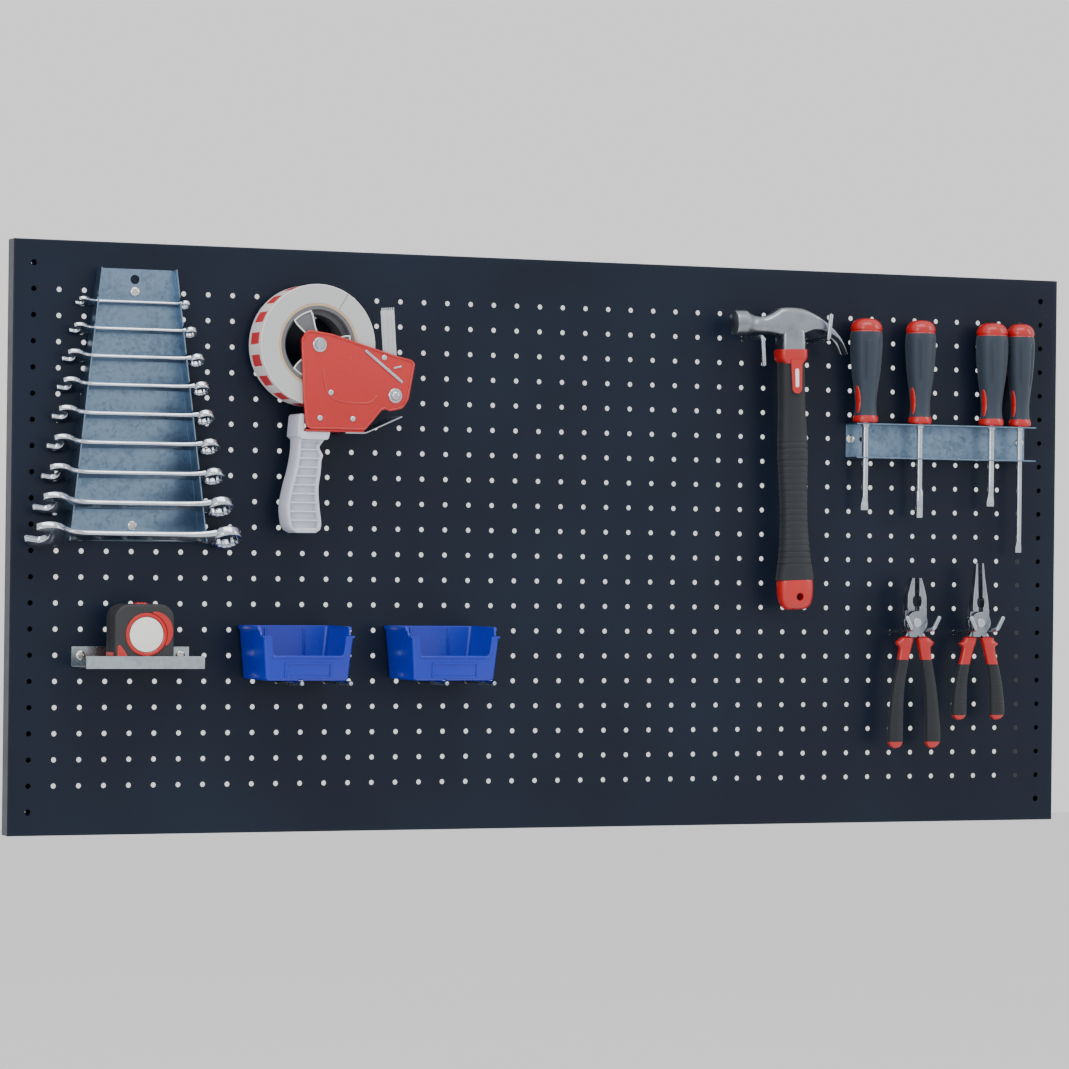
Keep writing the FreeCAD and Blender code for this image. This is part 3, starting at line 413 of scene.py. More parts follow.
def makeMetalGroup():
    # bare metal: drawn or polished lines, zinc crystals, fingerprints and dull spots
    group, into, out = newGroup("metalFinish", [
        ("Vector", "vector", None), ("Line Stretch", "vector", (60.0, 60.0, 1500.0)),
        ("Colour", "colour", (0.6, 0.6, 0.6, 1)), ("Dull Colour", "colour", (0.35, 0.35, 0.35, 1)),
        ("Lines", "value", 0.3), ("Crystals", "value", 0.0), ("Crystal Scale", "value", 120.0),
        ("Dull", "value", 0.4), ("Roughness", "value", 0.25), ("Roughness Spread", "value", 0.15)],
        [("Colour", "colour"), ("Roughness", "value"), ("Height", "value")])
    at = into.outputs["Vector"]
    stretched = addNode(group, "ShaderNodeVectorMath", {0: at, 1: into.outputs["Line Stretch"]},
                        operation="MULTIPLY").outputs[0]
    lines = noise(group, stretched, 1.0, 4.0, 0.6)
    cloud = noise(group, at, 60.0, 5.0, 0.6)
    cell = addNode(group, "ShaderNodeTexVoronoi",
                   {"Vector": at, "Scale": into.outputs["Crystal Scale"]},
                   feature="F1").outputs["Color"]
    crystal = addNode(group, "ShaderNodeSeparateColor", {0: cell}).outputs[0]
    grains = calc(group, "MULTIPLY", calc(group, "SUBTRACT", crystal, 0.5),
                  into.outputs["Crystals"])
    lined = calc(group, "MULTIPLY", calc(group, "SUBTRACT", lines, 0.5), into.outputs["Lines"])
    dull = calc(group, "MULTIPLY", remap(group, cloud, 0.42, 0.68), into.outputs["Dull"])
    share = calc(group, "ADD", dull, calc(group, "ADD", grains, lined))
    share = addNode(group, "ShaderNodeClamp", {"Value": share}).outputs[0]
    group.links.new(blendColour(group, share, into.outputs["Colour"], into.outputs["Dull Colour"]),
                    out.inputs["Colour"])
    spread = calc(group, "MULTIPLY", share, into.outputs["Roughness Spread"])
    group.links.new(calc(group, "ADD", into.outputs["Roughness"], spread), out.inputs["Roughness"])
    group.links.new(calc(group, "ADD", lined, calc(group, "MULTIPLY", grains, 0.3)),
                    out.inputs["Height"])
    return group


coatGroup, metalGroup = makeCoatGroup(), makeMetalGroup()


def emptyMaterial(name):
    # a material with its own shader, and the object's coordinates for its patterns
    material = bpy.data.materials.new(name)
    material.use_nodes = True
    tree = material.node_tree
    shader = tree.nodes["Principled BSDF"]
    at = tree.nodes.new("ShaderNodeTexCoord").outputs["Object"]
    return material, tree, shader, at


def wireFinish(tree, shader, made, bump, depth):
    # colour, roughness and relief from a finish group to the shader
    tree.links.new(made.outputs["Colour"], shader.inputs["Base Color"])
    tree.links.new(made.outputs["Roughness"], shader.inputs["Roughness"])
    lift = addNode(tree, "ShaderNodeBump", {"Height": made.outputs["Height"], "Strength": bump,
                                            "Distance": depth})
    tree.links.new(lift.outputs["Normal"], shader.inputs["Normal"])


def shade(colour, factor):
    # the colour times a factor, no brighter than white
    return tuple(min(1.0, c * factor) for c in colour[:3]) + (1.0,)


def coatMaterial(name, colour, second=None, scuff=None, grain=900.0, drift=0.6, scuffs=0.25,
                 rough=0.4, spread=0.12, bump=0.25, depth=0.0002, coat=0.0, specular=0.5,
                 sheen=0.0, through=0.0):
    material, tree, shader, at = emptyMaterial(name)
    made = addNode(tree, "ShaderNodeGroup", node_tree=coatGroup)
    tree.links.new(at, made.inputs["Vector"])
    for key, value in {"Colour": shade(colour, 1), "Second Colour": second or shade(colour, 1.35),
                       "Scuff Colour": scuff or shade(colour, 2.2), "Grain Scale": grain,
                       "Drift": drift, "Scuffs": scuffs, "Roughness": rough,
                       "Roughness Spread": spread}.items():
        made.inputs[key].default_value = value
    wireFinish(tree, shader, made, bump, depth)
    shader.inputs["Coat Weight"].default_value = coat
    shader.inputs["Coat Roughness"].default_value = 0.12
    shader.inputs["Specular IOR Level"].default_value = specular
    shader.inputs["Sheen Weight"].default_value = sheen
    shader.inputs["Transmission Weight"].default_value = through
    return material


def metalMaterial(name, colour, dull, lines=0.3, stretch=(60.0, 60.0, 1500.0), crystals=0.0,
                  cells=120.0, wear=0.4, rough=0.25, spread=0.15, bump=0.15):
    material, tree, shader, at = emptyMaterial(name)
    made = addNode(tree, "ShaderNodeGroup", node_tree=metalGroup)
    tree.links.new(at, made.inputs["Vector"])
    for key, value in {"Line Stretch": stretch, "Colour": shade(colour, 1),
                       "Dull Colour": shade(dull, 1), "Lines": lines, "Crystals": crystals,
                       "Crystal Scale": cells, "Dull": wear, "Roughness": rough,
                       "Roughness Spread": spread}.items():
        made.inputs[key].default_value = value
    wireFinish(tree, shader, made, bump, 0.0001)
    shader.inputs["Metallic"].default_value = 1.0
    return material


paint = {
    "board": coatMaterial("navyPowderCoat", (0.005, 0.0088, 0.020), (0.008, 0.014, 0.030, 1),
                          (0.06, 0.08, 0.12, 1), grain=750.0, rough=0.34, spread=0.1, scuffs=0.18,
                          bump=0.22, specular=0.2),
    "rack": metalMaterial("blueGalvanised", (0.20, 0.29, 0.40), (0.10, 0.155, 0.23), lines=0.35,
                          stretch=(900.0, 60.0, 60.0), crystals=0.55, cells=330.0, rough=0.36,
                          spread=0.22),
    "zinc": metalMaterial("brightZinc", (0.42, 0.48, 0.52), (0.25, 0.30, 0.34), crystals=0.5,
                          cells=260.0, rough=0.24, spread=0.2),
    "screw": metalMaterial("screwZinc", (0.74, 0.73, 0.69), (0.42, 0.40, 0.36), rough=0.2,
                           crystals=0.3, cells=900.0),
    "chrome": metalMaterial("satinChrome", (0.56, 0.60, 0.66), (0.28, 0.32, 0.37), lines=0.12,
                            stretch=(50.0, 800.0, 800.0), wear=0.35, rough=0.17, spread=0.16),
    "steel": metalMaterial("forgedSteel", (0.30, 0.33, 0.37), (0.14, 0.165, 0.19), lines=0.2,
                           stretch=(80.0, 700.0, 700.0), wear=0.5, rough=0.3, spread=0.18,
                           bump=0.1),
    "grip": coatMaterial("darkGrip", (0.016, 0.028, 0.046), (0.026, 0.042, 0.066, 1),
                         (0.10, 0.12, 0.15, 1), grain=1500.0, rough=0.5, bump=0.4, scuffs=0.3,
                         specular=0.4, sheen=0.08),
    "blackGrip": coatMaterial("blackRubber", (0.008, 0.010, 0.014), (0.016, 0.019, 0.025, 1),
                              (0.06, 0.065, 0.07, 1), grain=1700.0, rough=0.55, bump=0.45,
                              scuffs=0.25, specular=0.35, sheen=0.08),
    "red": coatMaterial("redPlastic", (0.42, 0.006, 0.006), (0.56, 0.014, 0.012, 1),
                        (0.8, 0.25, 0.2, 1), grain=700.0, rough=0.3, bump=0.12, scuffs=0.15,
                        coat=0.25),
    "dispenserRed": coatMaterial("glossRedPaint", (0.44, 0.003, 0.004), (0.56, 0.008, 0.008, 1),
                                 (0.5, 0.2, 0.18, 1), grain=420.0, rough=0.24, bump=0.1,
                                 scuffs=0.22, coat=0.5),
    "white": coatMaterial("paleHandle", (0.56, 0.57, 0.68), (0.68, 0.69, 0.78, 1),
                          (0.45, 0.44, 0.46, 1), grain=650.0, rough=0.42, bump=0.2, scuffs=0.2),
    "hub": coatMaterial("hubPlastic", (0.10, 0.105, 0.12), (0.15, 0.155, 0.17, 1),
                        (0.4, 0.4, 0.42, 1), grain=900.0, rough=0.45),
    "flap": coatMaterial("clearFlap", (0.72, 0.75, 0.80), (0.80, 0.82, 0.86, 1), grain=300.0,
                         rough=0.22, bump=0.15, through=0.45, scuffs=0.3),
    "rubber": coatMaterial("mouldedRubber", (0.016, 0.017, 0.020), (0.028, 0.029, 0.034, 1),
                           (0.12, 0.12, 0.13, 1), grain=1900.0, rough=0.6, bump=0.5, scuffs=0.3),
    "blade": coatMaterial("lacqueredBlade", (0.80, 0.62, 0.07), (0.86, 0.70, 0.12, 1), grain=500.0,
                          rough=0.28, bump=0.05, coat=0.3),
    # pale label colour, also used for the painted highlights on the hammer's red strip and on the
    # hub's edges
    "label": coatMaterial("labelAndPaintedHighlight", (0.80, 0.79, 0.76), (0.86, 0.85, 0.83, 1),
                          (0.55, 0.53, 0.5, 1), grain=1200.0, rough=0.4, bump=0.06, scuffs=0.12),
    "blue": coatMaterial("binBlue", (0.0, 0.012, 0.36), (0.001, 0.026, 0.50, 1),
                         (0.10, 0.20, 0.62, 1), grain=520.0, rough=0.3, bump=0.16, scuffs=0.3,
                         coat=0.15),
    "cardboard": coatMaterial("coreBoard", (0.46, 0.33, 0.20), (0.54, 0.40, 0.26, 1), grain=1100.0,
                              rough=0.8, bump=0.5, scuffs=0.2),
}


def woundTapeMaterial():
    # the rings of the wound film follow the radius about the roll's axle; the outer face carries
    # a row of plain red squares that follow the angle, and the film thins out where a strip ended
    material, tree, shader, at = emptyMaterial("woundTape")
    low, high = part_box("tape_roll")
    middle = (low + high) / 2
    about = addNode(tree, "ShaderNodeVectorMath", {0: at, 1: tuple(middle)},
                    operation="SUBTRACT").outputs[0]
    parts = addNode(tree, "ShaderNodeSeparateXYZ", {0: about}).outputs
    flat = addNode(tree, "ShaderNodeCombineXYZ", {0: parts[0], 2: parts[2]}).outputs[0]
    radius = addNode(tree, "ShaderNodeVectorMath", {0: flat}, operation="LENGTH").outputs["Value"]
    angle = calc(tree, "ARCTAN2", parts[2], parts[0])
    wobble = noise(tree, at, 40.0, 3.0)
    ringAt = calc(tree, "ADD", calc(tree, "MULTIPLY", radius, 5200.0),
                  calc(tree, "MULTIPLY", wobble, 6.0))
    rings = noise(tree, addNode(tree, "ShaderNodeCombineXYZ", {0: ringAt}).outputs[0], 1.0, 3.0)
    tone = blendColour(tree, remap(tree, rings, 0.3, 0.7), (0.34, 0.35, 0.36, 1),
                       (0.62, 0.63, 0.64, 1))
    slit = calc(tree, "ABSOLUTE", calc(tree, "SUBTRACT", angle, 1.03), 0)
    dark = calc(tree, "MULTIPLY", remap(tree, slit, 0.016, 0.004), 0.75)
    tone = blendColour(tree, dark, tone, (0.10, 0.10, 0.11, 1))
    wave = calc(tree, "SINE", calc(tree, "MULTIPLY", angle, 17.0), 0)
    band = calc(tree, "LESS_THAN", calc(tree, "ABSOLUTE", parts[1], 0), 0.0115)
    stripe = calc(tree, "MULTIPLY", calc(tree, "GREATER_THAN", wave, -0.1), band)
    outside = calc(tree, "GREATER_THAN", radius, (high.x - low.x) / 2 - 0.0006)
    film = blendColour(tree, stripe, (0.82, 0.78, 0.76, 1), (0.66, 0.04, 0.05, 1))
    tree.links.new(blendColour(tree, outside, tone, film), shader.inputs["Base Color"])
    tree.links.new(remap(tree, wobble, 0.3, 0.7, 0.25, 0.45), shader.inputs["Roughness"])
    lift = addNode(tree, "ShaderNodeBump", {"Height": rings, "Strength": 0.35, "Distance": 0.0002})
    tree.links.new(lift.outputs["Normal"], shader.inputs["Normal"])
    shader.inputs["Coat Weight"].default_value = 0.2
    return material


paint["tape"] = woundTapeMaterial()
print("stage: materials are made")


# the board: a perforated face with a broken edge round every hole

def perforatedFace():
    # each cell is a square ring that closes in to the hole: boundary points are the hole's own
    # directions carried out to the square, so neighbouring cells share them
    s = {"holeRadius": 2.5, "brokenEdge": 0.35, "cornerRadius": 3.0, "sides": 16, "fold": 1.3}
    across, rows = 45, 20
    angle = np.linspace(0, 2 * math.pi, s["sides"], endpoint=False)
    way = np.stack([np.cos(angle), np.sin(angle)], 1)
    square = way / np.abs(way).max(1, keepdims=True) * pitch / 2
    front, back = boardFace, boardBehind

    def upright(loops):
        # each (outline, depth) stands in the plane across Y at its own depth
        return np.stack([np.column_stack([line[:, 0], np.full(len(line), y), line[:, 1]])
                         for line, y in loops])

    def cell(radius):
        loops = [(square, front), (way * (radius + s["brokenEdge"]), front),
                 (way * radius, front + s["brokenEdge"]), (way * radius, back - 0.2),
                 (way * (radius + 0.2), back), (square, back)]
        return upright(loops)

    x = (np.arange(across) - (across - 1) / 2) * pitch
    z = (np.arange(-1, rows + 1) - (rows - 1) / 2) * pitch
    shells = []
    for zi, height in enumerate(z):
        for xi, side in enumerate(x):
            rim, end = zi in (0, rows + 1), xi in (0, across - 1)
            if rim and not end:
                points = upright([(square, front), (square, back)]) + [side, 0, height]
                n = s["sides"]
                shells.append((points.reshape(-1, 3), [list(range(n)), list(range(n, 2 * n))]))
            else:
                radius = s["cornerRadius"] if rim else s["holeRadius"]
                shells.append(gridShell(cell(radius) + np.array([side, 0, height]), capped=False))
    # the rim outside the cells, folded back round a small radius at its outer edge
    half = np.array([across * pitch / 2, (rows + 2) * pitch / 2])
    stops = np.unique(np.round(np.concatenate([square[:, 0], [pitch / 2]]), 6))[:-1]
    steps = [np.concatenate([c + stops for c in centres]) for centres in (x, z)]
    low = np.column_stack([steps[0], np.full(len(steps[0]), -half[1])])
    right = np.column_stack([np.full(len(steps[1]), half[0]), steps[1]])
    loop = np.concatenate([low, right, -low, -right])
    edge = np.array([boardHigh[0], boardHigh[2]])
    turn = np.linspace(0, math.pi / 2, 5)
    rings = [(loop, front)]
    for t in turn:
        inset = s["fold"] * (1 - math.sin(t))
        rings.append((loop * (edge - inset) / half, front + s["fold"] * (1 - math.cos(t))))
    rings += [(loop * edge / half, back), (loop, back)]
    shells.append(gridShell(upright(rings), capped=False))
    piece("perforated_face", shells, paint["board"], "board", "board_paint", ("perforated_sheet",),
          angle=30)


perforatedFace()
for node in ("top_rail", "bottom_rail", "left_upright", "right_upright"):
    pressedCopy(node, paint["board"], "board_paint", "board", 0.45)
pressedCopy("wrench_rack", paint["rack"], "rack_steel", "board", 0.28)
pressedCopy("driver_rack", paint["rack"], "zinc", "board", 0.28)
pressedCopy("tape_shelf", paint["zinc"], "zinc", "board", 0.28)


def screws():
    # pan heads with a cross recess pressed into the dome, and their plain shanks
    s = {"head": 4.5, "tall": 2.4, "recess": 0.55, "recessReach": 2.5, "recessDeep": 1.1,
         "shank": 2.3, "shankLong": 5.7}
    rackMiddle = (box("wrench_rack")[0] + box("wrench_rack")[1]) / 2
    shelfMiddle = (box("tape_shelf")[0] + box("tape_shelf")[1]) / 2
    driverRow, shelfRow = 4.5 * pitch, -4.5 * pitch
    places = [(rackMiddle[0], 9.5 * pitch), (rackMiddle[0], 0.5 * pitch), (13 * pitch, driverRow),
              (21 * pitch, driverRow), (shelfMiddle[0] - 2 * pitch, shelfRow),
              (shelfMiddle[0] + 2 * pitch, shelfRow)]
    seat = box("wrench_rack")[1][1] - 1.2
    rows, steps = 26, 48
    share = np.linspace(0.02, 1, rows)[:, None]
    angle = np.linspace(0, 2 * math.pi, steps, endpoint=False)[None, :]
    x, z = s["head"] * share * np.cos(angle), s["head"] * share * np.sin(angle)
    dome = s["tall"] * (0.35 + 0.65 * np.sqrt(1 - 0.92 * share ** 2)) + 0 * angle
    near = np.minimum(np.abs(x), np.abs(z))
    cross = ease(-near, -s["recess"] - 0.2, -s["recess"] + 0.1)
    cross *= ease(-np.hypot(x, z), -s["recessReach"] - 0.3, -s["recessReach"] + 0.3)
    top = np.stack([x, z, dome - s["recessDeep"] * cross], -1)
    skirt = np.stack([x[-1:], z[-1:], 0 * x[-1:]], -1)
    head = gridShell(np.concatenate([top, skirt]))
    shank = moved(lathe([(s["shank"], -s["shankLong"]), (s["shank"], 0.2)], 20))
    shells = []
    for n, (px, pz) in enumerate(places):
        for shell in (head, shank):
            shells.append(moved(moved(shell, turn=turned(23 * n + 8, "Z")), (px, seat, pz),
                                faceFront))
    piece("screw_heads", shells, paint["screw"], "board", "screw_steel", ("rack_screws",))


def hooks():
    # every rod: a short leg behind the sheet, the arm out of the hole, and its bent end
    s = {"dia": 4.6, "behind": 11, "leg": 8, "arm": 48, "binArm": 72, "gunArm": 28, "rise": 5,
         "gunRise": 9.5, "tip": 12, "tipLean": 28, "hammerTip": 24, "hammerDrop": 28}
    inside = boardFace + s["behind"]

    def arm(x, z, long, rise=0):
        lift = math.tan(math.radians(rise))
        start = np.array([x, inside, z - s["behind"] * lift])
        reach = long + s["behind"]
        slope = math.radians(rise)
        end = start + reach * np.array([0, -math.cos(slope), math.sin(slope)])
        return [start + [0, 0, s["leg"]], start, end]

    def tip(end, tall, lean, side):
        return end + np.array([side * tall * math.tan(math.radians(lean)), 0, tall])

    row, dia = 8.5 * pitch, s["dia"]
    left, right = arm(8 * pitch, row, s["arm"]), arm(11 * pitch, row, s["arm"])
    right.append(tip(right[-1], s["hammerTip"], 6, 1))
    left.append(left[-1] - np.array([math.sin(math.radians(-4)), 0, 1]) * s["hammerDrop"])
    piece("hammer_hook_rods", [wire(left, dia), wire(right, dia)], paint["zinc"], "board", "zinc",
          ("hammer_hook",))
    rods = []
    for middle in (387.5, 462.5):
        for side in (-1, 1):
            points = arm(middle + side * pitch / 2, -3.5 * pitch, s["arm"], s["rise"])
            points.append(tip(points[-1], s["tip"], s["tipLean"], side))
            rods.append(wire(points, dia, 3.2))
    piece("pliers_hook_rods", rods, paint["zinc"], "board", "zinc", ("pliers_hooks",))
    rods = [wire(arm(x * pitch, -5.5 * pitch, s["binArm"]), dia) for x in (-12, -10, -6, -4)]
    piece("bin_hook_rods", rods, paint["zinc"], "board", "zinc", ("bin_hooks",))
    rods = [wire(arm(-11 * pitch, row, s["gunArm"], s["gunRise"]), dia)]
    piece("dispenser_hook_rod", rods, paint["zinc"], "board", "zinc", ("dispenser_hook",))


screws()
hooks()
print("stage: board, racks, screws and hooks are made")


# nine combination wrenches, each from its jaw size and its length

def wrench(i, jaw, long):
    # every size is a straight line in the jaw size; the long axis lies along X until it is hung
    s = {"head": jaw * 2.05 + 2, "ring": jaw * 1.45 + 2, "headThick": jaw * 0.25 + 2,
         "ringThick": jaw * 0.42 + 2, "shankWide": jaw * 0.45 + 3.5, "shankThick": jaw * 0.22 + 1.6,
         "tilt": 30, "jawTurn": 15, "recess": 0.2}
    low, high = box("wrench_%d" % i)
    middle = (low + high) / 2
    left, right = -long / 2 + s["head"] / 2, long / 2 - s["ring"] / 2
    # open end: a round head whose mouth ends in a half round, with softened tips
    big, half = s["head"] / 2, jaw / 2
    start = math.asin(half / big) + 0.16
    around = np.linspace(start, 2 * math.pi - start, 56)
    outer = np.stack([np.cos(around), np.sin(around)], 1) * big * np.array([1, 0.985])
    reach, floor = big * math.cos(start) * 0.97, 0.22 * jaw
    bottom = np.linspace(-math.pi / 2, -1.5 * math.pi, 17)
    arc = np.stack([floor + 0.62 * half * np.cos(bottom), half * np.sin(bottom)], 1)
    mouth = np.concatenate([[(reach, -half - 0.25), (reach - 0.1 * jaw, -half)], arc,
                            [(reach - 0.1 * jaw, half), (reach, half + 0.25)]])
    head = slab(np.concatenate([outer, mouth]), s["headThick"], 0.16 * s["headThick"])
    head = moved(head, (left, 0, 0), turned(180 + s["jawTurn"], "Z"))
    # ring end: the inner wall is two hexagons a twelfth of a turn apart
    turn = np.linspace(0, 2 * math.pi, 96, endpoint=False)
    hexes = [half / np.cos((turn + shift) % (math.pi / 3) - math.pi / 6)
             for shift in (0, math.pi / 6)]
    star = np.maximum(*hexes)[:, None] * np.stack([np.cos(turn), np.sin(turn)], 1)
    ring = slab(disc(s["ring"] / 2, 96), s["ringThick"], 0.22 * s["ringThick"], 4, hole=star)
    ring = moved(ring, (right, 0, 0), turned(3.75, "Z"))
    # shank: a flat oval that widens and thickens smoothly into both ends, sunk along its faces
    along = np.linspace(left + big * 0.62, right - s["ring"] * 0.44, 60)
    span = along[-1] - along[0]
    flare = np.exp(-(along - along[0]) / (0.5 * big)) * 1.15
    flareRing = np.exp(-(along[-1] - along) / (0.3 * s["ring"])) * 0.75
    wide = s["shankWide"] / 2 + (big * 0.9 - s["shankWide"] / 2) * flare * 0.8
    wide += (s["ring"] * 0.42 - s["shankWide"] / 2) * flareRing
    thick = s["shankThick"] / 2 * (1 + 0.25 * np.minimum(flare, 1) + 0.35 * flareRing)
    thick = np.minimum(thick, s["headThick"] / 2 * 0.96 + flareRing)
    a, b = ringOf(40, 4.0)
    body = ease(along, along[0] + 0.16 * span, along[0] + 0.24 * span)
    body *= ease(-along, -(along[0] + 0.84 * span), -(along[0] + 0.76 * span))
    sunk = 1 - s["recess"] * body[:, None] * ease(-np.abs(a), -0.75, -0.6)[None, :]
    points = np.stack([along[:, None] + 0 * a, wide[:, None] * a, thick[:, None] * b * sunk], -1)
    name = "wrench_%d_forged" % i
    thing = meshOf(name, [head])
    fixNormals(thing.data)
    joined(thing, gridShell(points), "UNION")
    joined(thing, ring, "UNION")
    centre = (high[0] - long / 2, middle[1], middle[2])
    whole = Matrix.Translation(Vector(centre) * mm) @ turned(-s["tilt"], "X")
    thing.data.transform(whole)
    finishPiece(thing, paint["chrome"], "wrench_%d" % i, "tool_chrome", ("wrench_%d" % i,),
                angle=42)


jaws = (6, 8, 10, 11, 12, 13, 14, 17, 19)
lengths = (115, 128, 143, 153, 163, 173, 183, 200, 216)
for number, (jaw, long) in enumerate(zip(jaws, lengths), 1):
    wrench(number, jaw, long)
print("stage: wrenches are made")


# four screwdrivers: fluted two-colour handles and flat-tipped blades

def screwdriver(i, dia, bladeDia, bladeLong):
    # handle, collar and dome are profiles turned about the blade's axis, heights from the collar
    s = {"handle": 94, "cap": 14, "flutes": 6, "fluteDeep": 0.11, "collar": 7, "inlayLift": 0.35}
    low, high = box("driver_handle_%d" % i)
    spot = ((low[0] + high[0]) / 2, (low[1] + high[1]) / 2, low[2])
    body, slots = "screwdriver_%d" % i, ("grip_dark", "plastic_red", "tool_chrome")
    # radius as a share of the diameter: waist above the collar, belly at the top
    levels = np.array([(s["collar"], 0.355), (12, 0.33), (22, 0.325), (34, 0.36), (48, 0.42),
                       (62, 0.465), (76, 0.492), (88, 0.495), (s["handle"], 0.475)])
    curve = smoothCurve(levels, 72)

    def flutes(angle, height):
        # shallow grooves that fade out at both ends of the belly
        fade = ease(height, 34, 48) * ease(-height, -91, -80)
        return 1 - s["fluteDeep"] * fade * np.maximum(np.cos(s["flutes"] * angle), 0) ** 3

    profile = np.column_stack([curve[:, 1] * dia, curve[:, 0]])
    rows = np.concatenate([[(profile[0, 0] - 0.8, profile[0, 1])], profile,
                           [(profile[-1, 0] - 0.8, profile[-1, 1])]])
    piece("driver_grip_%d" % i, [lathe(rows, 96, flutes)], paint["grip"], body, slots[0],
          ("driver_handle_%d" % i,), (spot, None))
    # collar: a rounded red ring round the blade, below the grip
    r = dia * 0.36
    collar = [(bladeDia / 2, 0.2), (r * 0.9, 0), (r + 0.6, 1.2), (r + 1.1, 3.2), (r + 0.7, 5.6),
              (r, s["collar"] + 0.4), (bladeDia / 2, s["collar"] + 0.4)]
    shells = [lathe(collar, 64)]
    # dome with a shallow groove below it
    domes = np.array([(s["handle"], 0.475), (95.2, 0.462), (96.4, 0.482), (100, 0.468), (104, 0.40),
                      (107, 0.27), (s["handle"] + s["cap"], 0.06)])
    curve = smoothCurve(domes, 36)
    shells.append(lathe(np.column_stack([curve[:, 1] * dia, curve[:, 0]]), 96))
    # long red inlay set into the grip's waist, one on each side
    up = np.linspace(10, 38, 30)
    wide = 0.34 * np.sqrt(np.maximum(1 - ((up - 24) / 14.5) ** 2, 0.01))
    inlayRadius = np.interp(up, levels[:, 0], levels[:, 1]) * dia + s["inlayLift"]
    across = np.linspace(-1, 1, 11)
    for side in (-2.85, -2.85 + math.pi):
        angle = side + wide[:, None] * across
        outer = inlayRadius[:, None] - 0.5 * across ** 4 * np.ones((30, 1))
        front = np.stack([outer * np.cos(angle), outer * np.sin(angle), up[:, None] + 0 * angle],
                         -1)
        back = front * np.array([0.86, 0.86, 1])
        shells.append(gridShell(np.concatenate([front, back[:, ::-1]], 1)))
    piece("driver_red_parts_%d" % i, shells, paint["red"], body, slots[1],
          ("driver_cap_%d" % i,), (spot, None))
    # blade: round bar, and a tip that flares and flattens; the second one ends in a nut socket
    ends = np.array([(40, 1, 1), (-2, 1, 1), (-bladeLong + 22, 1, 1), (-bladeLong + 12, 1.04, 0.85),
                     (-bladeLong + 5, 1.22, 0.36), (-bladeLong, 1.18, 0.17)])
    if i == 2:
        ends[3:, 1:] = 1
    line = smoothCurve(ends, 60)
    a, b = ringOf(28)
    squeeze = np.stack([line[:, 1:2] * a, line[:, 2:3] * b], -1) * bladeDia / 2
    bar = np.concatenate([squeeze, line[:, :1, None] + 0 * squeeze[..., :1]], -1)[::-1]
    bolster = lathe([(bladeDia / 2, -4.5), (bladeDia * 0.62, -4), (bladeDia * 0.66, -1),
                     (bladeDia * 0.66, 0.1), (bladeDia / 2, 0.1)], 36)
    shells = [gridShell(bar), bolster]
    if i == 2:
        low = -bladeLong
        socket = [(3.2, low + 30), (4.0, low + 27.5), (4.3, low + 26), (4.3, low + 0.6), (3.9, low),
                  (2.9, low), (2.7, low + 0.4), (2.7, low + 8), (2.0, low + 8.2), (2.0, low + 30)]
        shells.append(lathe(socket, 40, looped=True))
    piece("driver_shaft_%d" % i, shells, paint["chrome"], body, slots[2],
          ("driver_blade_%d" % i,), (spot, None))


driverSizes = ((34, 7, 90), (32, 6.4, 97), (34, 7, 84), (30, 5.6, 132))
for number, (dia, bladeDia, bladeLong) in enumerate(driverSizes, 1):
    screwdriver(number, dia, bladeDia, bladeLong)
print("stage: screwdrivers are made")


# claw hammer

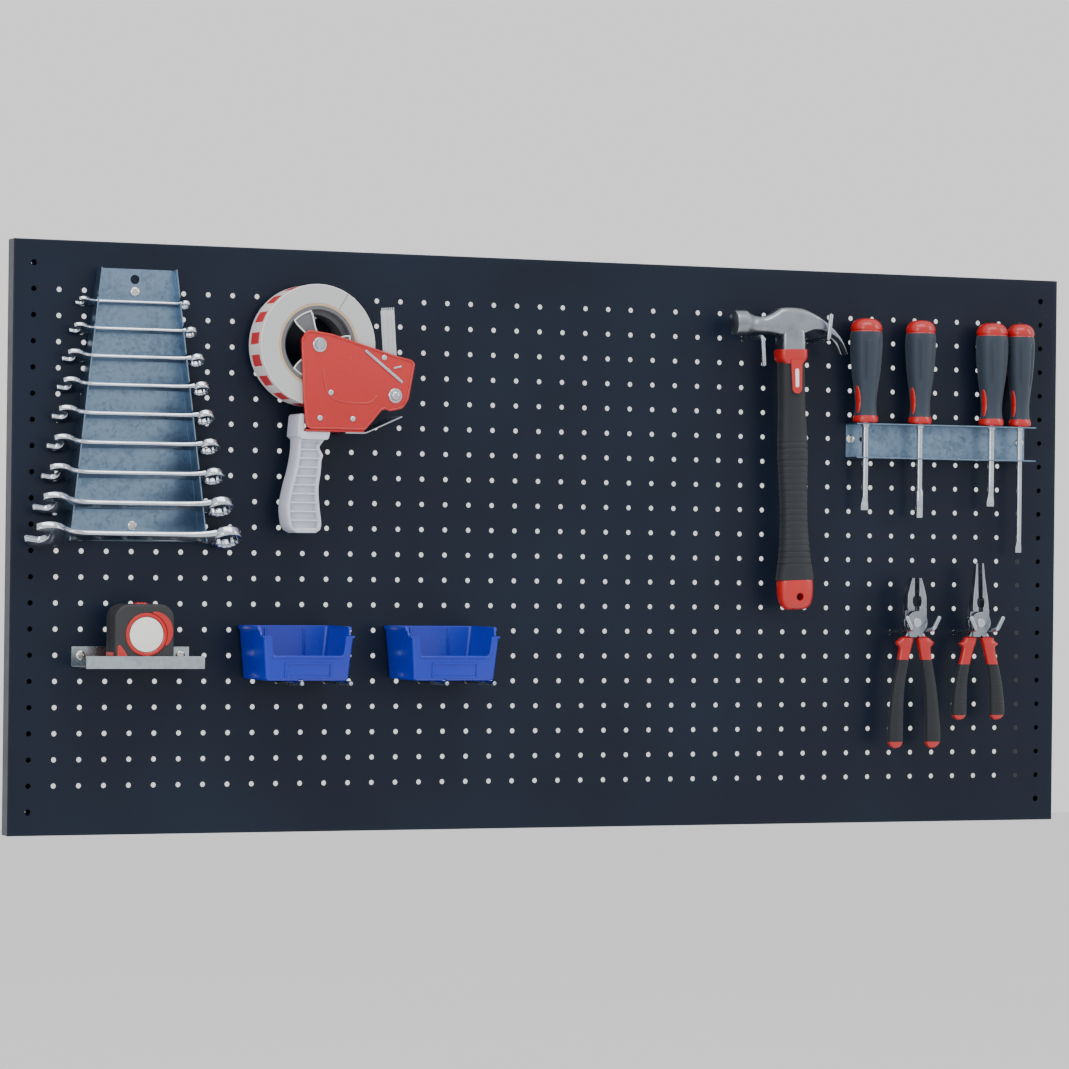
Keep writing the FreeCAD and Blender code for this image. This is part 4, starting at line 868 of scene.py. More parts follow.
def hammer():
    # each part is a superellipse ring carried along a line of stations that give its half sizes
    s = {"lean": 1.8, "socketLow": 27.7, "gripLow": 263, "low": 293,
         "eye": 8, "collarTall": 13}
    seat = (240.0, -50.0, 229.0)
    place = (seat, turned(-s["lean"], "Y"))
    # head: stations along X give the top, the underside, the half thickness and the squareness
    stations = np.array([
        (-64.0, 11.2, -11.2, 11.2, 2.0), (-63.0, 12.3, -12.3, 12.3, 2.0),
        (-60.0, 12.5, -12.5, 12.5, 2.0), (-52.0, 12.5, -12.5, 12.5, 2.0),
        (-50.0, 11.9, -12.1, 11.9, 2.0), (-44.0, 8.6, -11.0, 9.0, 2.1),
        (-38.0, 6.6, -10.6, 7.8, 2.2), (-32.0, 6.2, -10.6, 7.8, 2.3), (-26.0, 7.6, -11.0, 8.6, 2.5),
        (-19.0, 11.4, -12.2, 10.6, 3.0), (-13.0, 14.6, -13.4, 12.0, 4.2),
        (-4.0, 15.2, -13.8, 12.4, 4.6), (6.0, 14.6, -13.4, 12.2, 4.6),
        (13.0, 13.2, -12.0, 12.0, 4.4), (22.0, 9.6, -8.9, 12.0, 4.0),
        (31.0, 4.6, -9.2, 12.0, 3.8), (40.0, -2.4, -12.2, 12.0, 3.8),
        (48.0, -10.6, -17.0, 12.0, 3.8), (54.0, -19.6, -23.6, 11.9, 3.8),
        (59.2, -32.0, -33.4, 11.6, 3.8)])
    line = smoothCurve(stations, 132)
    turn = np.linspace(0, 2 * math.pi, 56, endpoint=False)[None, :]
    c, sn = np.cos(turn), np.sin(turn)
    power = 2 / line[:, 4:5]
    side = np.sign(c) * np.abs(c) ** power
    rise = np.sign(sn) * np.abs(sn) ** power
    middle, tall = (line[:, 1:2] + line[:, 2:3]) / 2, (line[:, 1:2] - line[:, 2:3]) / 2
    head = np.stack([line[:, :1] + 0 * side, line[:, 3:4] * side, middle + tall * rise], -1)
    a, b = ringOf(56, 4.5)
    levels = np.array([(8, 11.5, 11.4), (-6, 12.6, 12.1), (-14, 13.2, 12.3), (-22, 13.5, 12.3),
                       (-s["socketLow"], 13.3, 12.0)])
    tube = smoothCurve(levels, 28)[::-1]
    socket = np.stack([tube[:, 1:2] * a, tube[:, 2:3] * b, tube[:, :1] + 0 * a], -1)
    # the claw's split: a wedge that widens towards the tips
    slot = slab(rounded(np.array([(34.0, -0.5), (66.0, -3.6), (66.0, 3.6), (34.0, 0.5)]), 0.3, 3),
                90, 0.05, 1)
    piece("hammer_head_forged", [gridShell(head)], paint["steel"], "hammer", "tool_steel",
          ("hammer_head",), place, union=[gridShell(socket)], cut=[moved(slot, (0, 0, -20))],
          angle=38)
    # collar: the red core's shoulder under the head, an oval that steps in towards the grip
    lowZ = -s["socketLow"]
    rings = np.array([(0, 15.4, 13.2), (-1.2, 15.9, 13.4), (-9.0, 15.4, 13.2),
                      (-s["collarTall"], 12.6, 12.4), (-s["collarTall"] - 1.6, 11.2, 12.0)])
    collarLine = smoothCurve(rings, 24)
    a, b = ringOf(64, 3.6)
    collar = np.stack([collarLine[:, 1:2] * a, collarLine[:, 2:3] * b,
                       lowZ + collarLine[:, :1] + 0 * a], -1)[::-1]
    # tongue of the red core, seen through the front and the back of the grip
    tongue = rounded([(-5.6, -39), (5.6, -39), (4.4, -72), (-4.4, -72)], (1, 1, 4.2, 4.2), 8)
    shells = [gridShell(collar)]
    for way in (-1, 1):
        shells.append(moved(slab(tongue, 3, 0.8), (0, way * 12.0, 0), faceFront))
    piece("hammer_red_core", shells, paint["red"], "hammer", "plastic_red", ("hammer_shaft",),
          place)
    # a pale bar on each side of the red tongue: a painted highlight along the red strip
    bar = rounded([(-1.7, -48), (1.7, -48), (1.5, -66), (-1.5, -66)], 1.3, 6)
    shells = [moved(slab(bar, 1.4, 0.4), (0, way * 13.2, 0), faceFront) for way in (-1, 1)]
    piece("hammer_painted_highlight", shells, paint["label"], "hammer", "dispenser_white", (), place)
    # grip: an oval sleeve with a belly and a flared heel; fine ribs run across its lower part
    top = lowZ - s["collarTall"]
    path = np.array([(top, 13.4, 11.4), (-60, 13.6, 11.6), (-90, 14.0, 11.2), (-130, 15.6, 11.6),
                     (-165, 14.6, 11.2), (-200, 14.0, 10.9), (-232, 15.8, 11.8), (-252, 18.6, 12.3),
                     (-s["gripLow"], 20.4, 12.4)])
    grip = smoothCurve(path, 260)
    height = grip[:, 0]
    ribbed = ease(-height, 112, 122) * ease(height, -254, -246)
    ribs = ribbed * np.maximum(np.sin(2 * math.pi * height / 6.2), 0) ** 6
    shape = 1 - 0.045 * ribs[:, None]
    a, b = ringOf(72, 2.5)
    sleeve = np.stack([grip[:, 1:2] * a * shape, grip[:, 2:3] * b * shape, height[:, None] + 0 * a],
                      -1)
    piece("hammer_sleeve", [gridShell(sleeve[::-1])], paint["blackGrip"], "hammer", "grip_dark",
          ("hammer_grip",), place)
    # heel cap with the hanging hole
    heel = np.array([(-s["gripLow"] + 0.2, 18.4, 12.2), (-266, 18.9, 12.4), (-278, 18.6, 12.2),
                     (-287, 16.4, 10.8), (-291.5, 13.0, 8.0), (-s["low"], 9.5, 4.4)])
    cap = smoothCurve(heel, 40)[::-1]
    a, b = ringOf(72, 2.6)
    shell = gridShell(np.stack([cap[:, 1:2] * a, cap[:, 2:3] * b, cap[:, :1] + 0 * a], -1))
    hole = moved(lathe([(s["eye"] / 2, -20), (s["eye"] / 2, 20)], 40), (0, 0, -s["low"] + 13),
                 faceFront)
    piece("hammer_heel", [shell], paint["red"], "hammer", "plastic_red", ("hammer_cap",), place,
          cut=[hole])


hammer()
print("stage: hammer is made")


# combination and long-nose pliers

def pliers(label, seatX, s):
    # both halves share one rivet; side mirrors the sections of the left half to the right half
    low, high = box(label + "_rivet")
    seat = (seatX, -50.0, (low[2] + high[2]) / 2)
    joint, jaw, gap, deep = s["joint"] / 2, s["jaw"], 2.2, 6.0
    for name, side in (("left", 1), ("right", -1)):
        body = label if side > 0 else label + "_free_half"
        layer = (-deep, -0.15) if side > 0 else (0.15, deep)
        # jaw: stations up the height give its outer edge and its half depth; the inner face is
        # flat with fine teeth, and is scooped out for the cutter or pipe hole
        up = np.linspace(joint + 0.4, jaw, 150)
        share = (up - up[0]) / (jaw - up[0])
        stations = np.array(s["outer"])
        edge = np.interp(share, stations[:, 0], stations[:, 1])
        edge = np.convolve(np.pad(edge, 6, mode="edge"), np.ones(13) / 13, "valid")
        half = deep + (s["tipDeep"] - deep) * share ** s["taper"]
        hollow = 1 - ((up - s["scoopAt"]) / s["scoopTall"]) ** 2
        scoop = s["scoopDeep"] * np.sqrt(np.maximum(hollow, 0))
        toothed = ease(up, s["teethFrom"], s["teethFrom"] + 1) * ease(-up, -jaw + 0.6, -jaw + 1.6)
        teeth = 0.35 * toothed * np.abs((up / 1.3) % 1 - 0.5) * 2
        inner = gap + scoop + teeth
        outer = gap + edge
        a, b = ringOf(32, 5.0)
        middle, wide = (inner + outer) / 2, np.maximum((outer - inner) / 2, 0.5)
        section = np.stack([side * (middle[:, None] + wide[:, None] * a), half[:, None] * b,
                            up[:, None] + 0 * a], -1)
        shells = [gridShell(section)]
        # joint: a flat boss with a broken edge, in its own layer of the two
        mid, thick = (layer[0] + layer[1]) / 2, layer[1] - layer[0]
        boss = moved(slab(disc(joint, 64), thick, 0.7), (0, mid, 0), faceFront)
        cheek = rounded([(side * (gap - 1.6), -1), (side * (gap + s["outer"][0][1]), 0),
                         (side * (gap + s["outer"][0][1]), joint + 3),
                         (side * (gap + 0.2), joint + 3)],
                        0.8, 4)
        if side < 0:
            cheek = cheek[::-1]
        bridge = moved(slab(cheek, thick, 0.5), (0, mid, 0), faceFront)
        # tang: from the boss down and out into the sleeve, a flat bar that narrows
        route = np.array(s["path"])
        down = np.array([-18.0, -26.0, -36.0])
        sleeveAt = np.interp((down + 14) / (14 - s["grip"]), route[:, 0], route[:, 1])
        inSleeve = np.column_stack([-side * s["spread"] * sleeveAt, 0 * down, down])
        run = np.concatenate([[(-side * 3.2, 0, -4), (-side * 6.0, 0, -11)], inSleeve])
        path = smoothCurve(run, 40)
        share = np.linspace(0, 1, 40)
        wideTang, deepTang = 5.4 - 3.0 * share, 2.775
        shift = mid * (1 - ease(share, 0.1, 0.5)) * 0.3
        a, b = ringOf(24, 4.0)
        bar = np.stack([path[:, :1] + wideTang[:, None] * a, shift[:, None] + deepTang * b,
                        path[:, 2:3] + 0 * a], -1)
        neck = rounded([(-side * 9.6, -4), (side * 2.0, -8), (-side * 1.0, -joint - 2.5),
                        (-side * 8.4, -joint - 2.5)], 1.0, 4)
        if side < 0:
            neck = neck[::-1]
        root = moved(slab(neck, thick, 0.5), (0, mid, 0), faceFront)
        piece("%s_%s_forged" % (label, name), shells, paint["steel"], body, "tool_steel",
              ("%s_%s_half" % (label, name),), (seat, None),
              union=[boss, bridge, root, gridShell(bar)],
              cut=[moved(lathe([(3.45, -20), (3.45, 20)], 40), turn=faceFront)], angle=38)
        # sleeve: a soft oval tube along the handle, with a guard that bulges outwards at its top
        line = smoothCurve(s["path"], 120)
        z = -14 - (s["grip"] - 14) * line[:, 0]
        bend = line[:, 1] * s["spread"]
        share = line[:, 0]
        guard = 4.6 * np.exp(-((share - s["guardAt"]) / 0.028) ** 2)
        foot = np.clip((1 - share) / s["footShare"], 0, 1)
        soft = np.sqrt(np.maximum(1 - (1 - foot) ** 2, 0.03))
        soft *= np.sqrt(np.clip(share / 0.02, 0.25, 1))
        wideGrip = 8.5 * line[:, 2] * soft
        deepGrip = 6.6 * np.minimum(line[:, 2], 1) * soft
        a, b = ringOf(40, 2.3)
        outward = -side * guard[:, None] * np.maximum(-side * a, 0)
        tube = np.stack([-side * bend[:, None] + wideGrip[:, None] * a + outward,
                         deepGrip[:, None] * b * (1 + 0.16 * guard[:, None] / 4.6),
                         z[:, None] + 0 * a], -1)
        grooved = ease(share, 0.42, 0.46) * ease(-share, -0.86, -0.82)
        grooves = 1 - 0.05 * (np.sin(share * 150) > 0.6) * grooved
        tube[:, :, 1] *= grooves[:, None]
        cuts = [0, int(120 * s["redTop"]), int(120 * 0.89), 120]
        parts = [tube[max(c0 - 1, 0):c1][::-1] for c0, c1 in zip(cuts, cuts[1:])]
        piece("%s_%s_grip_red" % (label, name), [gridShell(parts[0]), gridShell(parts[2])],
              paint["red"], body, "plastic_red", (), (seat, None), angle=50)
        piece("%s_%s_grip_dark" % (label, name), [gridShell(parts[1])], paint["blackGrip"], body,
              "grip_dark", ("%s_%s_grip" % (label, name),), (seat, None), angle=50)
    # rivet: a pin with two low domes, each with a turned ring
    dome = np.array([(3.4, -6.6), (4.4, -6.2), (4.45, -6.55), (4.1, -6.85), (3.0, -6.9),
                     (2.6, -6.75), (1.6, -6.9), (0.1, -6.9)])[::-1]
    both = np.concatenate([dome, dome[::-1] * [1, -1]])
    piece(label + "_rivet_head", [moved(lathe(both, 48), turn=faceFront)], paint["chrome"],
          label, "tool_steel", (label + "_rivet",), (seat, None))


pliers("combination_pliers", 387.5, {
    "joint": 24, "jaw": 46, "tipDeep": 4.6, "taper": 1.6, "scoopAt": 22, "scoopTall": 5.5,
    "scoopDeep": 2.6, "teethFrom": 30, "grip": 130, "spread": 21.4, "guardAt": 0.06,
    "footShare": 0.06, "redTop": 0.27,
    "outer": [(0, 8.6), (0.12, 9.4), (0.45, 9.0), (0.8, 5.8), (1, 3.4)],
    "path": [(0, 0.42, 0.9), (0.2, 0.62, 0.74), (0.5, 0.9, 0.80), (0.85, 1.02, 0.98),
             (1, 1.0, 0.9)]})
pliers("long_nose_pliers", 462.5, {
    "joint": 23, "jaw": 62, "tipDeep": 2.4, "taper": 1.0, "scoopAt": 21, "scoopTall": 5.0,
    "scoopDeep": 1.8, "teethFrom": 33, "grip": 101, "spread": 22, "guardAt": 0.09,
    "footShare": 0.08, "redTop": 0.38,
    "outer": [(0, 7.2), (0.1, 7.5), (0.35, 6.2), (0.7, 3.6), (1, 2.3)],
    "path": [(0, 0.42, 0.9), (0.2, 0.62, 0.74), (0.5, 0.9, 0.80), (0.85, 1.02, 0.98),
             (1, 1.0, 0.9)]})
print("stage: pliers are made")


# tape measure

def tapeMeasure():
    # rounded outlines with soft rims across the depth, and a blade bowed as a shallow parabola
    s = {"w": 29.5, "deep": 16.0, "tall": 60.0, "round": 14.0, "mouth": (5.4, 7.4), "label": 17.0,
         "ring": 20.5, "face": (1.5, 31.0), "skirt": 3.0}
    seat = ((-450.5, -52.0, -122.4), None)
    w, tall, r = s["w"], s["tall"], s["round"]
    outline = rounded([(-w, 0), (w, 0), (w, tall), (-w, tall)], (4.2, 9.0, r, r), 12)
    case = moved(slab(outline, 2 * s["deep"], s["skirt"], 8), turn=faceFront)
    cuts = []
    # the joint between the two shells, the mouth, and round wells on both faces
    seam = slab(outline, 0.9, 0.1, 1, shrunk(outline, 0.8))
    cuts.append(moved(seam, (0, 3.0, 0), faceFront))
    low, high = s["mouth"]
    mouth = slab(rounded([(-34, low), (-24, low), (-24, high), (-34, high)], 0.3, 3), 18, 0.1, 1)
    cuts.append(moved(mouth, turn=faceFront))
    for way in (-1, 1):
        well = slab(disc(s["ring"] + 0.6, 96) + np.array(s["face"]), 2.4, 0.2, 2)
        cuts.append(moved(well, (0, way * s["deep"], 0), faceFront))
    piece("measure_shell", [case], paint["rubber"], "tape_measure", "measure_dark",
          ("measure_case",), seat, cut=cuts, angle=32)
    shells = []
    # raised ribs of the rubber jacket: short ones low on both faces, and bars up one edge
    for way in (-1, 1):
        for k in range(5):
            x = 9 + 3.4 * k
            rib = rounded([(x, 3.0), (x + 1.8, 3.0), (x + 1.8, 8.5), (x, 8.5)], 0.8, 4)
            shells.append(moved(slab(rib, 1.6, 0.5), (0, way * (s["deep"] - 0.1), 0), faceFront))
    for k in range(6):
        z = 14 + 5.4 * k
        bar = rounded([(-8, z), (8, z), (8, z + 2.6), (-8, z + 2.6)], 1.2, 5)
        shells.append(moved(slab(bar, 1.6, 0.6), (w - 0.1, 0, 0), turned(90, "Z") @ faceFront))
    piece("measure_ribs", shells, paint["blackGrip"], "tape_measure", "measure_dark", (), seat)
    # red trim: a ring round the label, a crescent at the upper right, and the nose
    shells = []
    for way in (-1, 1):
        front = way * (s["deep"] - 0.9)
        x, z = s["face"]
        ring = [(s["label"], -0.7), (s["label"] + 0.3, 1.0), (s["label"] + 1.0, 1.5),
                (s["ring"] - 0.4, 1.5), (s["ring"] + 0.2, 0.9), (s["ring"] + 0.2, -0.7)]
        turn = faceFront if way < 0 else turned(-90, "X")
        shells.append(moved(lathe(ring, 96, looped=True), (x, front, z), turn))
        angle = np.radians(np.linspace(-28, 74, 30))
        thick = 2.7 * np.sin(np.linspace(0.1, math.pi - 0.1, 30)) ** 0.7 + 0.3
        middle = np.stack([np.cos(angle), np.sin(angle)], 1)
        crescent = np.concatenate([middle * (s["ring"] + 0.4 + 2 * thick)[:, None],
                                   (middle * (s["ring"] + 0.4))[::-1]]) + np.array([x, z])
        shells.append(moved(slab(crescent, 1.6, 0.3), (0, way * (s["deep"] - 0.2), 0), faceFront))
        nose = rounded([(-w + 2.2, 2.0), (-12, 2.0), (-20, 15.0), (-w + 2.2, 25.0)], (1.5, 2, 5, 2),
                       6)
        shells.append(moved(slab(nose, 1.8, 0.6), (0, way * (s["deep"] - 0.2), 0), faceFront))
    bar = rounded([(-11, 9.4), (11, 9.4), (11, 14), (-11, 14)], 1.4, 6)
    shells.append(moved(slab(bar, 1.8, 0.6), (-w + 0.1, 0, 0), turned(90, "Z") @ faceFront))
    piece("measure_trim", shells, paint["red"], "tape_measure", "plastic_red", (), seat)
    shells = []
    for way in (-1, 1):
        plain = slab(disc(s["label"] - 0.3, 72) + np.array(s["face"]), 1.0, 0.3)
        shells.append(moved(plain, (0, way * (s["deep"] - 0.5), 0), faceFront))
    piece("measure_label", shells, paint["label"], "tape_measure", "dispenser_white", (), seat)
    # the blade bends down at its end into a hook with two rivets
    across = np.linspace(-8, 8, 13)
    bow = 0.32 * (across / 8) ** 2
    x = np.linspace(20.0, -30.6, 60)
    top = np.stack([x[:, None] + 0 * across, across + 0 * x[:, None], 6.36 + bow + 0 * x[:, None]],
                   -1)
    low = top[:, ::-1] - np.array([0, 0, 0.26])
    piece("measure_ribbon", [gridShell(np.concatenate([top, low], 1))], paint["blade"],
          "tape_blade", "measure_blade", ("measure_tape",), seat)
    hook = rounded([(-8.6, 1.0), (8.6, 1.0), (9.4, 6.9), (-9.4, 6.9)], 1.6, 6)
    shells = [moved(slab(hook, 1.1, 0.3), (-30.75, 0, 0), turned(90, "Z") @ faceFront)]
    for y in (-4.2, 4.2):
        head = lathe([(0.1, 1.0), (0.9, 0.9), (1.5, 0.5), (1.6, 0), (0.1, 0)][::-1], 24)
        shells.append(moved(head, (-31.2, y, 4.0), turned(-90, "Y")))
    piece("measure_hook", shells, paint["chrome"], "tape_blade", "tool_steel", (), seat)
    # lock: a rounded button with three grip ridges
    button = rounded([(-7, 56.4), (7, 56.4), (6.2, 60.9), (-6.2, 60.9)], (0.6, 0.6, 1.6, 1.6), 6)
    shells = [moved(slab(button, 10, 1.0), turn=faceFront)]
    for x in (-3.2, 0, 3.2):
        ridge = np.stack([np.full(9, x), np.linspace(-3.8, 3.8, 9), np.full(9, 60.9)], 1)
        shells.append(sweepRound(ridge, 1.5, 14))
    piece("measure_button", shells, paint["red"], "tape_lock", "plastic_red", ("measure_lock",),
          seat)


tapeMeasure()
print("stage: tape measure is made")


# packing tape dispenser

def dispenser():
    # outlines are given in the plane of the plate, from the axle of the roll
    s = {"roll": 59.0, "core": 38.0, "plate": -39.5, "wall": 2.0, "rim": 2.4,
         "roller": (79.0, -47.5), "rollerR": 13.0, "handleTop": -84.0, "handleLow": -182.0,
         "ribs": 8.6, "rail": 3.0, "arm": 19.0}
    seat = ((-277.0, -28.0, 190.0), None)
    body = "dispenser"
    # side plate: pressed sheet with a turned rim, one bowed bead
    corners = [(-19, 5), (-13, 14.5), (13, 11), (80, -8.5), (96, -12), (99.5, -16), (93, -51),
               (87, -60), (73, -63), (67, -60), (48, -82), (-13, -82), (-16, -54)]
    radii = [7, 7, 12, 8, 5, 4, 9, 8, 6, 5, 6, 7, 12]
    outline = rounded(corners[::-1], radii[::-1], 8)
    plate = moved(slab(outline, s["wall"], 0.4), (0, s["plate"] + s["wall"] / 2, 0), faceFront)
    rim = slab(outline, 3.4, 1.1, 4, shrunk(outline, s["rim"]))
    shells = [moved(rim, (0, s["plate"] + 0.7, 0), faceFront)]
    swell = smoothCurve([(4, -24), (5.5, -36), (9, -46), (18, -53), (34, -55.5), (52, -55),
                         (60, -48)], 60)
    bead = np.stack([swell[:, 0], np.full(60, s["plate"] + 0.5), swell[:, 1]], 1)
    shells.append(sweepRound(bead, 2.6, 16))
    # bottom flange under the roll
    flange = slab(rounded([(-13, -39.0), (48, -39.0), (48, -2), (-13, -2)], 2, 5), 2.0, 0.5)
    shells.append(moved(flange, (0, 0, -83)))
    piece("dispenser_plate", [plate], paint["dispenserRed"], body, "dispenser_red",
          ("dispenser_frame",), seat)
    piece("dispenser_beads", shells, paint["dispenserRed"], body, "dispenser_red", (), seat)
    # bright parts on the plate: the axles, their washers, a nut, a domed cap and small screws
    shells = [moved(lathe([(4, 31.5), (4, 43.6), (3.4, 44.2)], 40), turn=faceFront)]
    shells.append(moved(lathe([(3, 1.0), (3, 41.2)], 32), (s["roller"][0], 0, s["roller"][1]),
                        faceFront))
    hexagon = rounded(disc(5.0, 6), 0.6, 4)
    for (x, z), wide in (((0, 0), 7.0), (s["roller"], 7.0)):
        washer = [(wide - 0.3, 0), (wide, 0.3), (wide, 0.9), (wide - 0.4, 1.2), (4.2, 1.2),
                  (4.2, 0)]
        shells.append(moved(lathe(washer, 56, looped=True), (x, s["plate"], z), faceFront))
    shells.append(moved(slab(hexagon, 3.0, 0.6), (0, s["plate"] - 2.6, 0), faceFront))
    dome = smoothCurve([(0.1, 3.4), (2.0, 3.2), (3.8, 2.3), (4.8, 0.9), (4.8, 0)], 16)
    x, z = s["roller"]
    shells.append(moved(lathe(dome, 48), (x, s["plate"] - 1.1, z), faceFront))
    small = smoothCurve([(0.1, 1.7), (1.6, 1.5), (2.7, 0.7), (2.9, -0.4)], 10)
    for x, z in ((67, -10.5), (1, -71), (35, -71), (12, -46)):
        shells.append(moved(lathe(small, 32), (x, s["plate"] - 0.2, z), faceFront))
    piece("dispenser_fixings", shells, paint["chrome"], body, "tool_chrome", (), seat, angle=28)
    strips = []
    for strip in ([(46.2, -5.0), (47.8, -3.0), (87.0, -33.4), (85.4, -35.4)],
                  [(76.4, -21.6), (76.8, -19.6), (85.4, -17.6), (85.0, -19.6)]):
        flat = rounded(strip[::-1], 0.9, 6)
        strips.append(moved(slab(flat, 1.3, 0.4), (0, s["plate"] - 0.6, 0), faceFront))
    piece("dispenser_brake", strips, paint["chrome"], body, "tool_chrome", (), seat)
    # handle: a moulded I section; smooth rails run down both edges, and cross ribs stand in the
    # hollow between them on the front and the back
    levels = np.array([(0, -4, 1.0), (0.06, -4.4, 0.98), (0.2, -6, 0.92), (0.38, -8, 0.98),
                       (0.56, -11.5, 1.06), (0.74, -12.5, 1.20), (0.9, -10.8, 1.22),
                       (0.965, -9.8, 1.10), (0.99, -9.3, 0.94), (1, -9, 0.78)])
    line = smoothCurve(levels, 160)
    share = line[:, 0]
    height = s["handleTop"] + (s["handleLow"] - s["handleTop"]) * share
    finger = 3.2 * np.exp(-((share - 0.15) / 0.045) ** 2)
    finger -= 1.6 * np.exp(-((share - 0.24) / 0.03) ** 2)
    left = line[:, 1] - 15.0 * line[:, 2]
    right = line[:, 1] + 15.0 * line[:, 2] - finger
    foot = np.where(share > 0.97, np.clip(1 - ((share - 0.97) / 0.05) ** 2, 0.3, 1), 1.0)
    deep = 14.0 * np.minimum(line[:, 2], 1.0) * np.sqrt(foot)
    shells = []
    a, b = ringOf(28, 2.4)
    for edge, inward in ((left, 1), (right, -1)):
        middle = edge + inward * s["rail"]
        rail = np.stack([middle[:, None] + s["rail"] * a, -20 + deep[:, None] * b,
                         height[:, None] + 0 * a], -1)
        shells.append(gridShell(rail[::-1]))
    a, b = ringOf(20, 5.0)
    middle, half = (left + right) / 2, (right - left) / 2 - 1.5
    web = np.stack([middle[:, None] + half[:, None] * a, -20 + 8.6 * b + 0 * middle[:, None],
                    height[:, None] + 0 * a], -1)
    shells.append(gridShell(web[::-1]))
    for z in np.arange(s["handleTop"] - 9, s["handleLow"] + 8, -s["ribs"]):
        x0, x1 = np.interp(-z, -height, left) + 2, np.interp(-z, -height, right) - 2
        rib = rounded([(x0, z - 0.8), (x1, z - 0.8), (x1, z + 0.8), (x0, z + 0.8)], 0.5, 3)
        shells.append(moved(slab(rib, 25.5, 0.5), (0, -20, 0), faceFront))
    foot = rounded([(left[-9] + 1, -182.5), (right[-9] - 1, -182.5), (right[-9] - 1, -177.5),
                    (left[-9] + 1, -177.5)], 2.2, 6)
    shells.append(moved(slab(foot, 25.0, 1.2), (0, -20, 0), faceFront))
    # its head clamps the flange, and a hump stands up behind the plate's left edge
    collar = rounded([(-19, -92), (11, -92), (13, -84.1), (-19, -84.1)], (4, 3, 1, 1), 6)
    shells.append(moved(slab(collar, 34, 0.8), (0, -20.5, 0), faceFront))
    hump = rounded([(-20.5, -90), (-13.4, -90), (-13.4, -67), (-18.5, -67)], (2, 1, 2, 3), 6)
    shells.append(moved(slab(hump, 32, 1.0), (0, -20.0, 0), faceFront))
    piece("dispenser_grip", shells, paint["white"], body, "dispenser_white",
          ("dispenser_handle",), seat, angle=40)
    # cutter: a strip along the flange, bent up at its knee, with saw teeth on its far edge
    knee = np.array([48.5, -84.7])
    rise = math.radians(24)
    run = np.linspace(0, 1, 30)[:, None]
    lift = np.array([math.cos(rise), math.sin(rise)])
    start = np.array([28.0, -84.7])
    flat = start + (knee - [3, 0] - start) * run
    bend = np.linspace(0, 1, 8)[:, None]
    corner = ((1 - bend) ** 2 * (knee - [3, 0]) + 2 * bend * (1 - bend) * knee
              + bend ** 2 * (knee + 3 * lift))
    slope = knee + lift * (3 + (42 - 3) * run)
    path = np.concatenate([flat[:-1], corner, slope[1:]])
    along = np.gradient(path, axis=0)
    along /= np.linalg.norm(along, axis=1, keepdims=True)
    normal = np.stack([-along[:, 1], along[:, 0]], 1)
    y = np.linspace(-39.0, -2.0, 75)
    zigzag = 2.2 * np.abs((y / 3.7) % 1 - 0.5) * 2
    reach = ease(np.arange(len(path)), len(path) - 5, len(path) - 1)
    pull = reach[None, :, None] * zigzag[:, None, None] * -np.array([lift])[None]
    upper = path[None] + normal[None] * 0.5 + pull
    under = path[None] - normal[None] * 0.5 + pull
    loop = np.concatenate([upper, under[:, ::-1]], 1)
    shape = np.stack([loop[..., 0], y[:, None] + 0 * loop[..., 0], loop[..., 1]], -1)
    piece("dispenser_blade", [gridShell(shape)], paint["chrome"], body, "tool_steel",
          ("dispenser_cutter",), seat)
    # flap: a clear strip with ribs and a combed top
    comb = [(0, 0), (14, 0)]
    for k in range(7):
        comb += [(14 - 2 * k, 50), (13 - 2 * k, 50), (13 - 2 * k, 47.5), (12 - 2 * k, 47.5)]
    comb[-1] = (0, 47.5)
    shells = [moved(slab(rounded(comb, 0.2, 2), 1.0, 0.2), turn=faceFront)]
    for x in (2.6, 7.0, 11.4):
        bar = rounded([(x - 0.7, 4), (x + 0.7, 4), (x + 0.7, 44), (x - 0.7, 44)], 0.6, 4)
        shells.append(moved(slab(bar, 1.0, 0.3), (0, -0.6, 0), faceFront))
    tilt = turned(-4, "Y")
    shells = [moved(shell, (67.0, -37.0, -12.0), tilt) for shell in shells]
    piece("dispenser_strip", shells, paint["flap"], body, "flap_clear", ("dispenser_flap",), seat)
    # hub: a rim with a stepped bore, three flanged arms and a boss on the axle; the flanges along
    # the arms and the rim are pale, a painted highlight
    body = "tape_reel"
    rimLine = [(s["core"] - 0.5, 0), (s["core"] - 0.1, 0.5), (s["core"] - 0.1, 35.4),
               (s["core"] - 0.6, 36), (34.9, 36), (34.3, 35.4), (34.3, 25.2), (33.9, 24.9),
               (30.4, 24.9), (29.9, 24.4), (29.9, 0.5), (30.4, 0)]
    shells = [moved(lathe(rimLine, 112, looped=True), turn=faceFront)]
    bossLine = [(4.06, 31.2), (9.4, 31.2), (9.8, 31.8), (9.8, 36.4), (9.2, 36.9), (4.06, 36.9)]
    shells.append(moved(lathe(bossLine, 56, looped=True), turn=faceFront))
    edges = []
    out = np.linspace(8.0, 34.4, 30)
    waist = 5.2 + (s["arm"] / 2 - 5.2) * ease(out, 12, 31)
    for angle in (0, 120, 240):
        web = np.concatenate([np.stack([out, -waist], 1), np.stack([out, waist], 1)[::-1]])
        turn = turned(-angle, "Y") @ faceFront
        shells.append(moved(slab(web, 2.2, 0.3), (0, -33.4, 0), turn))
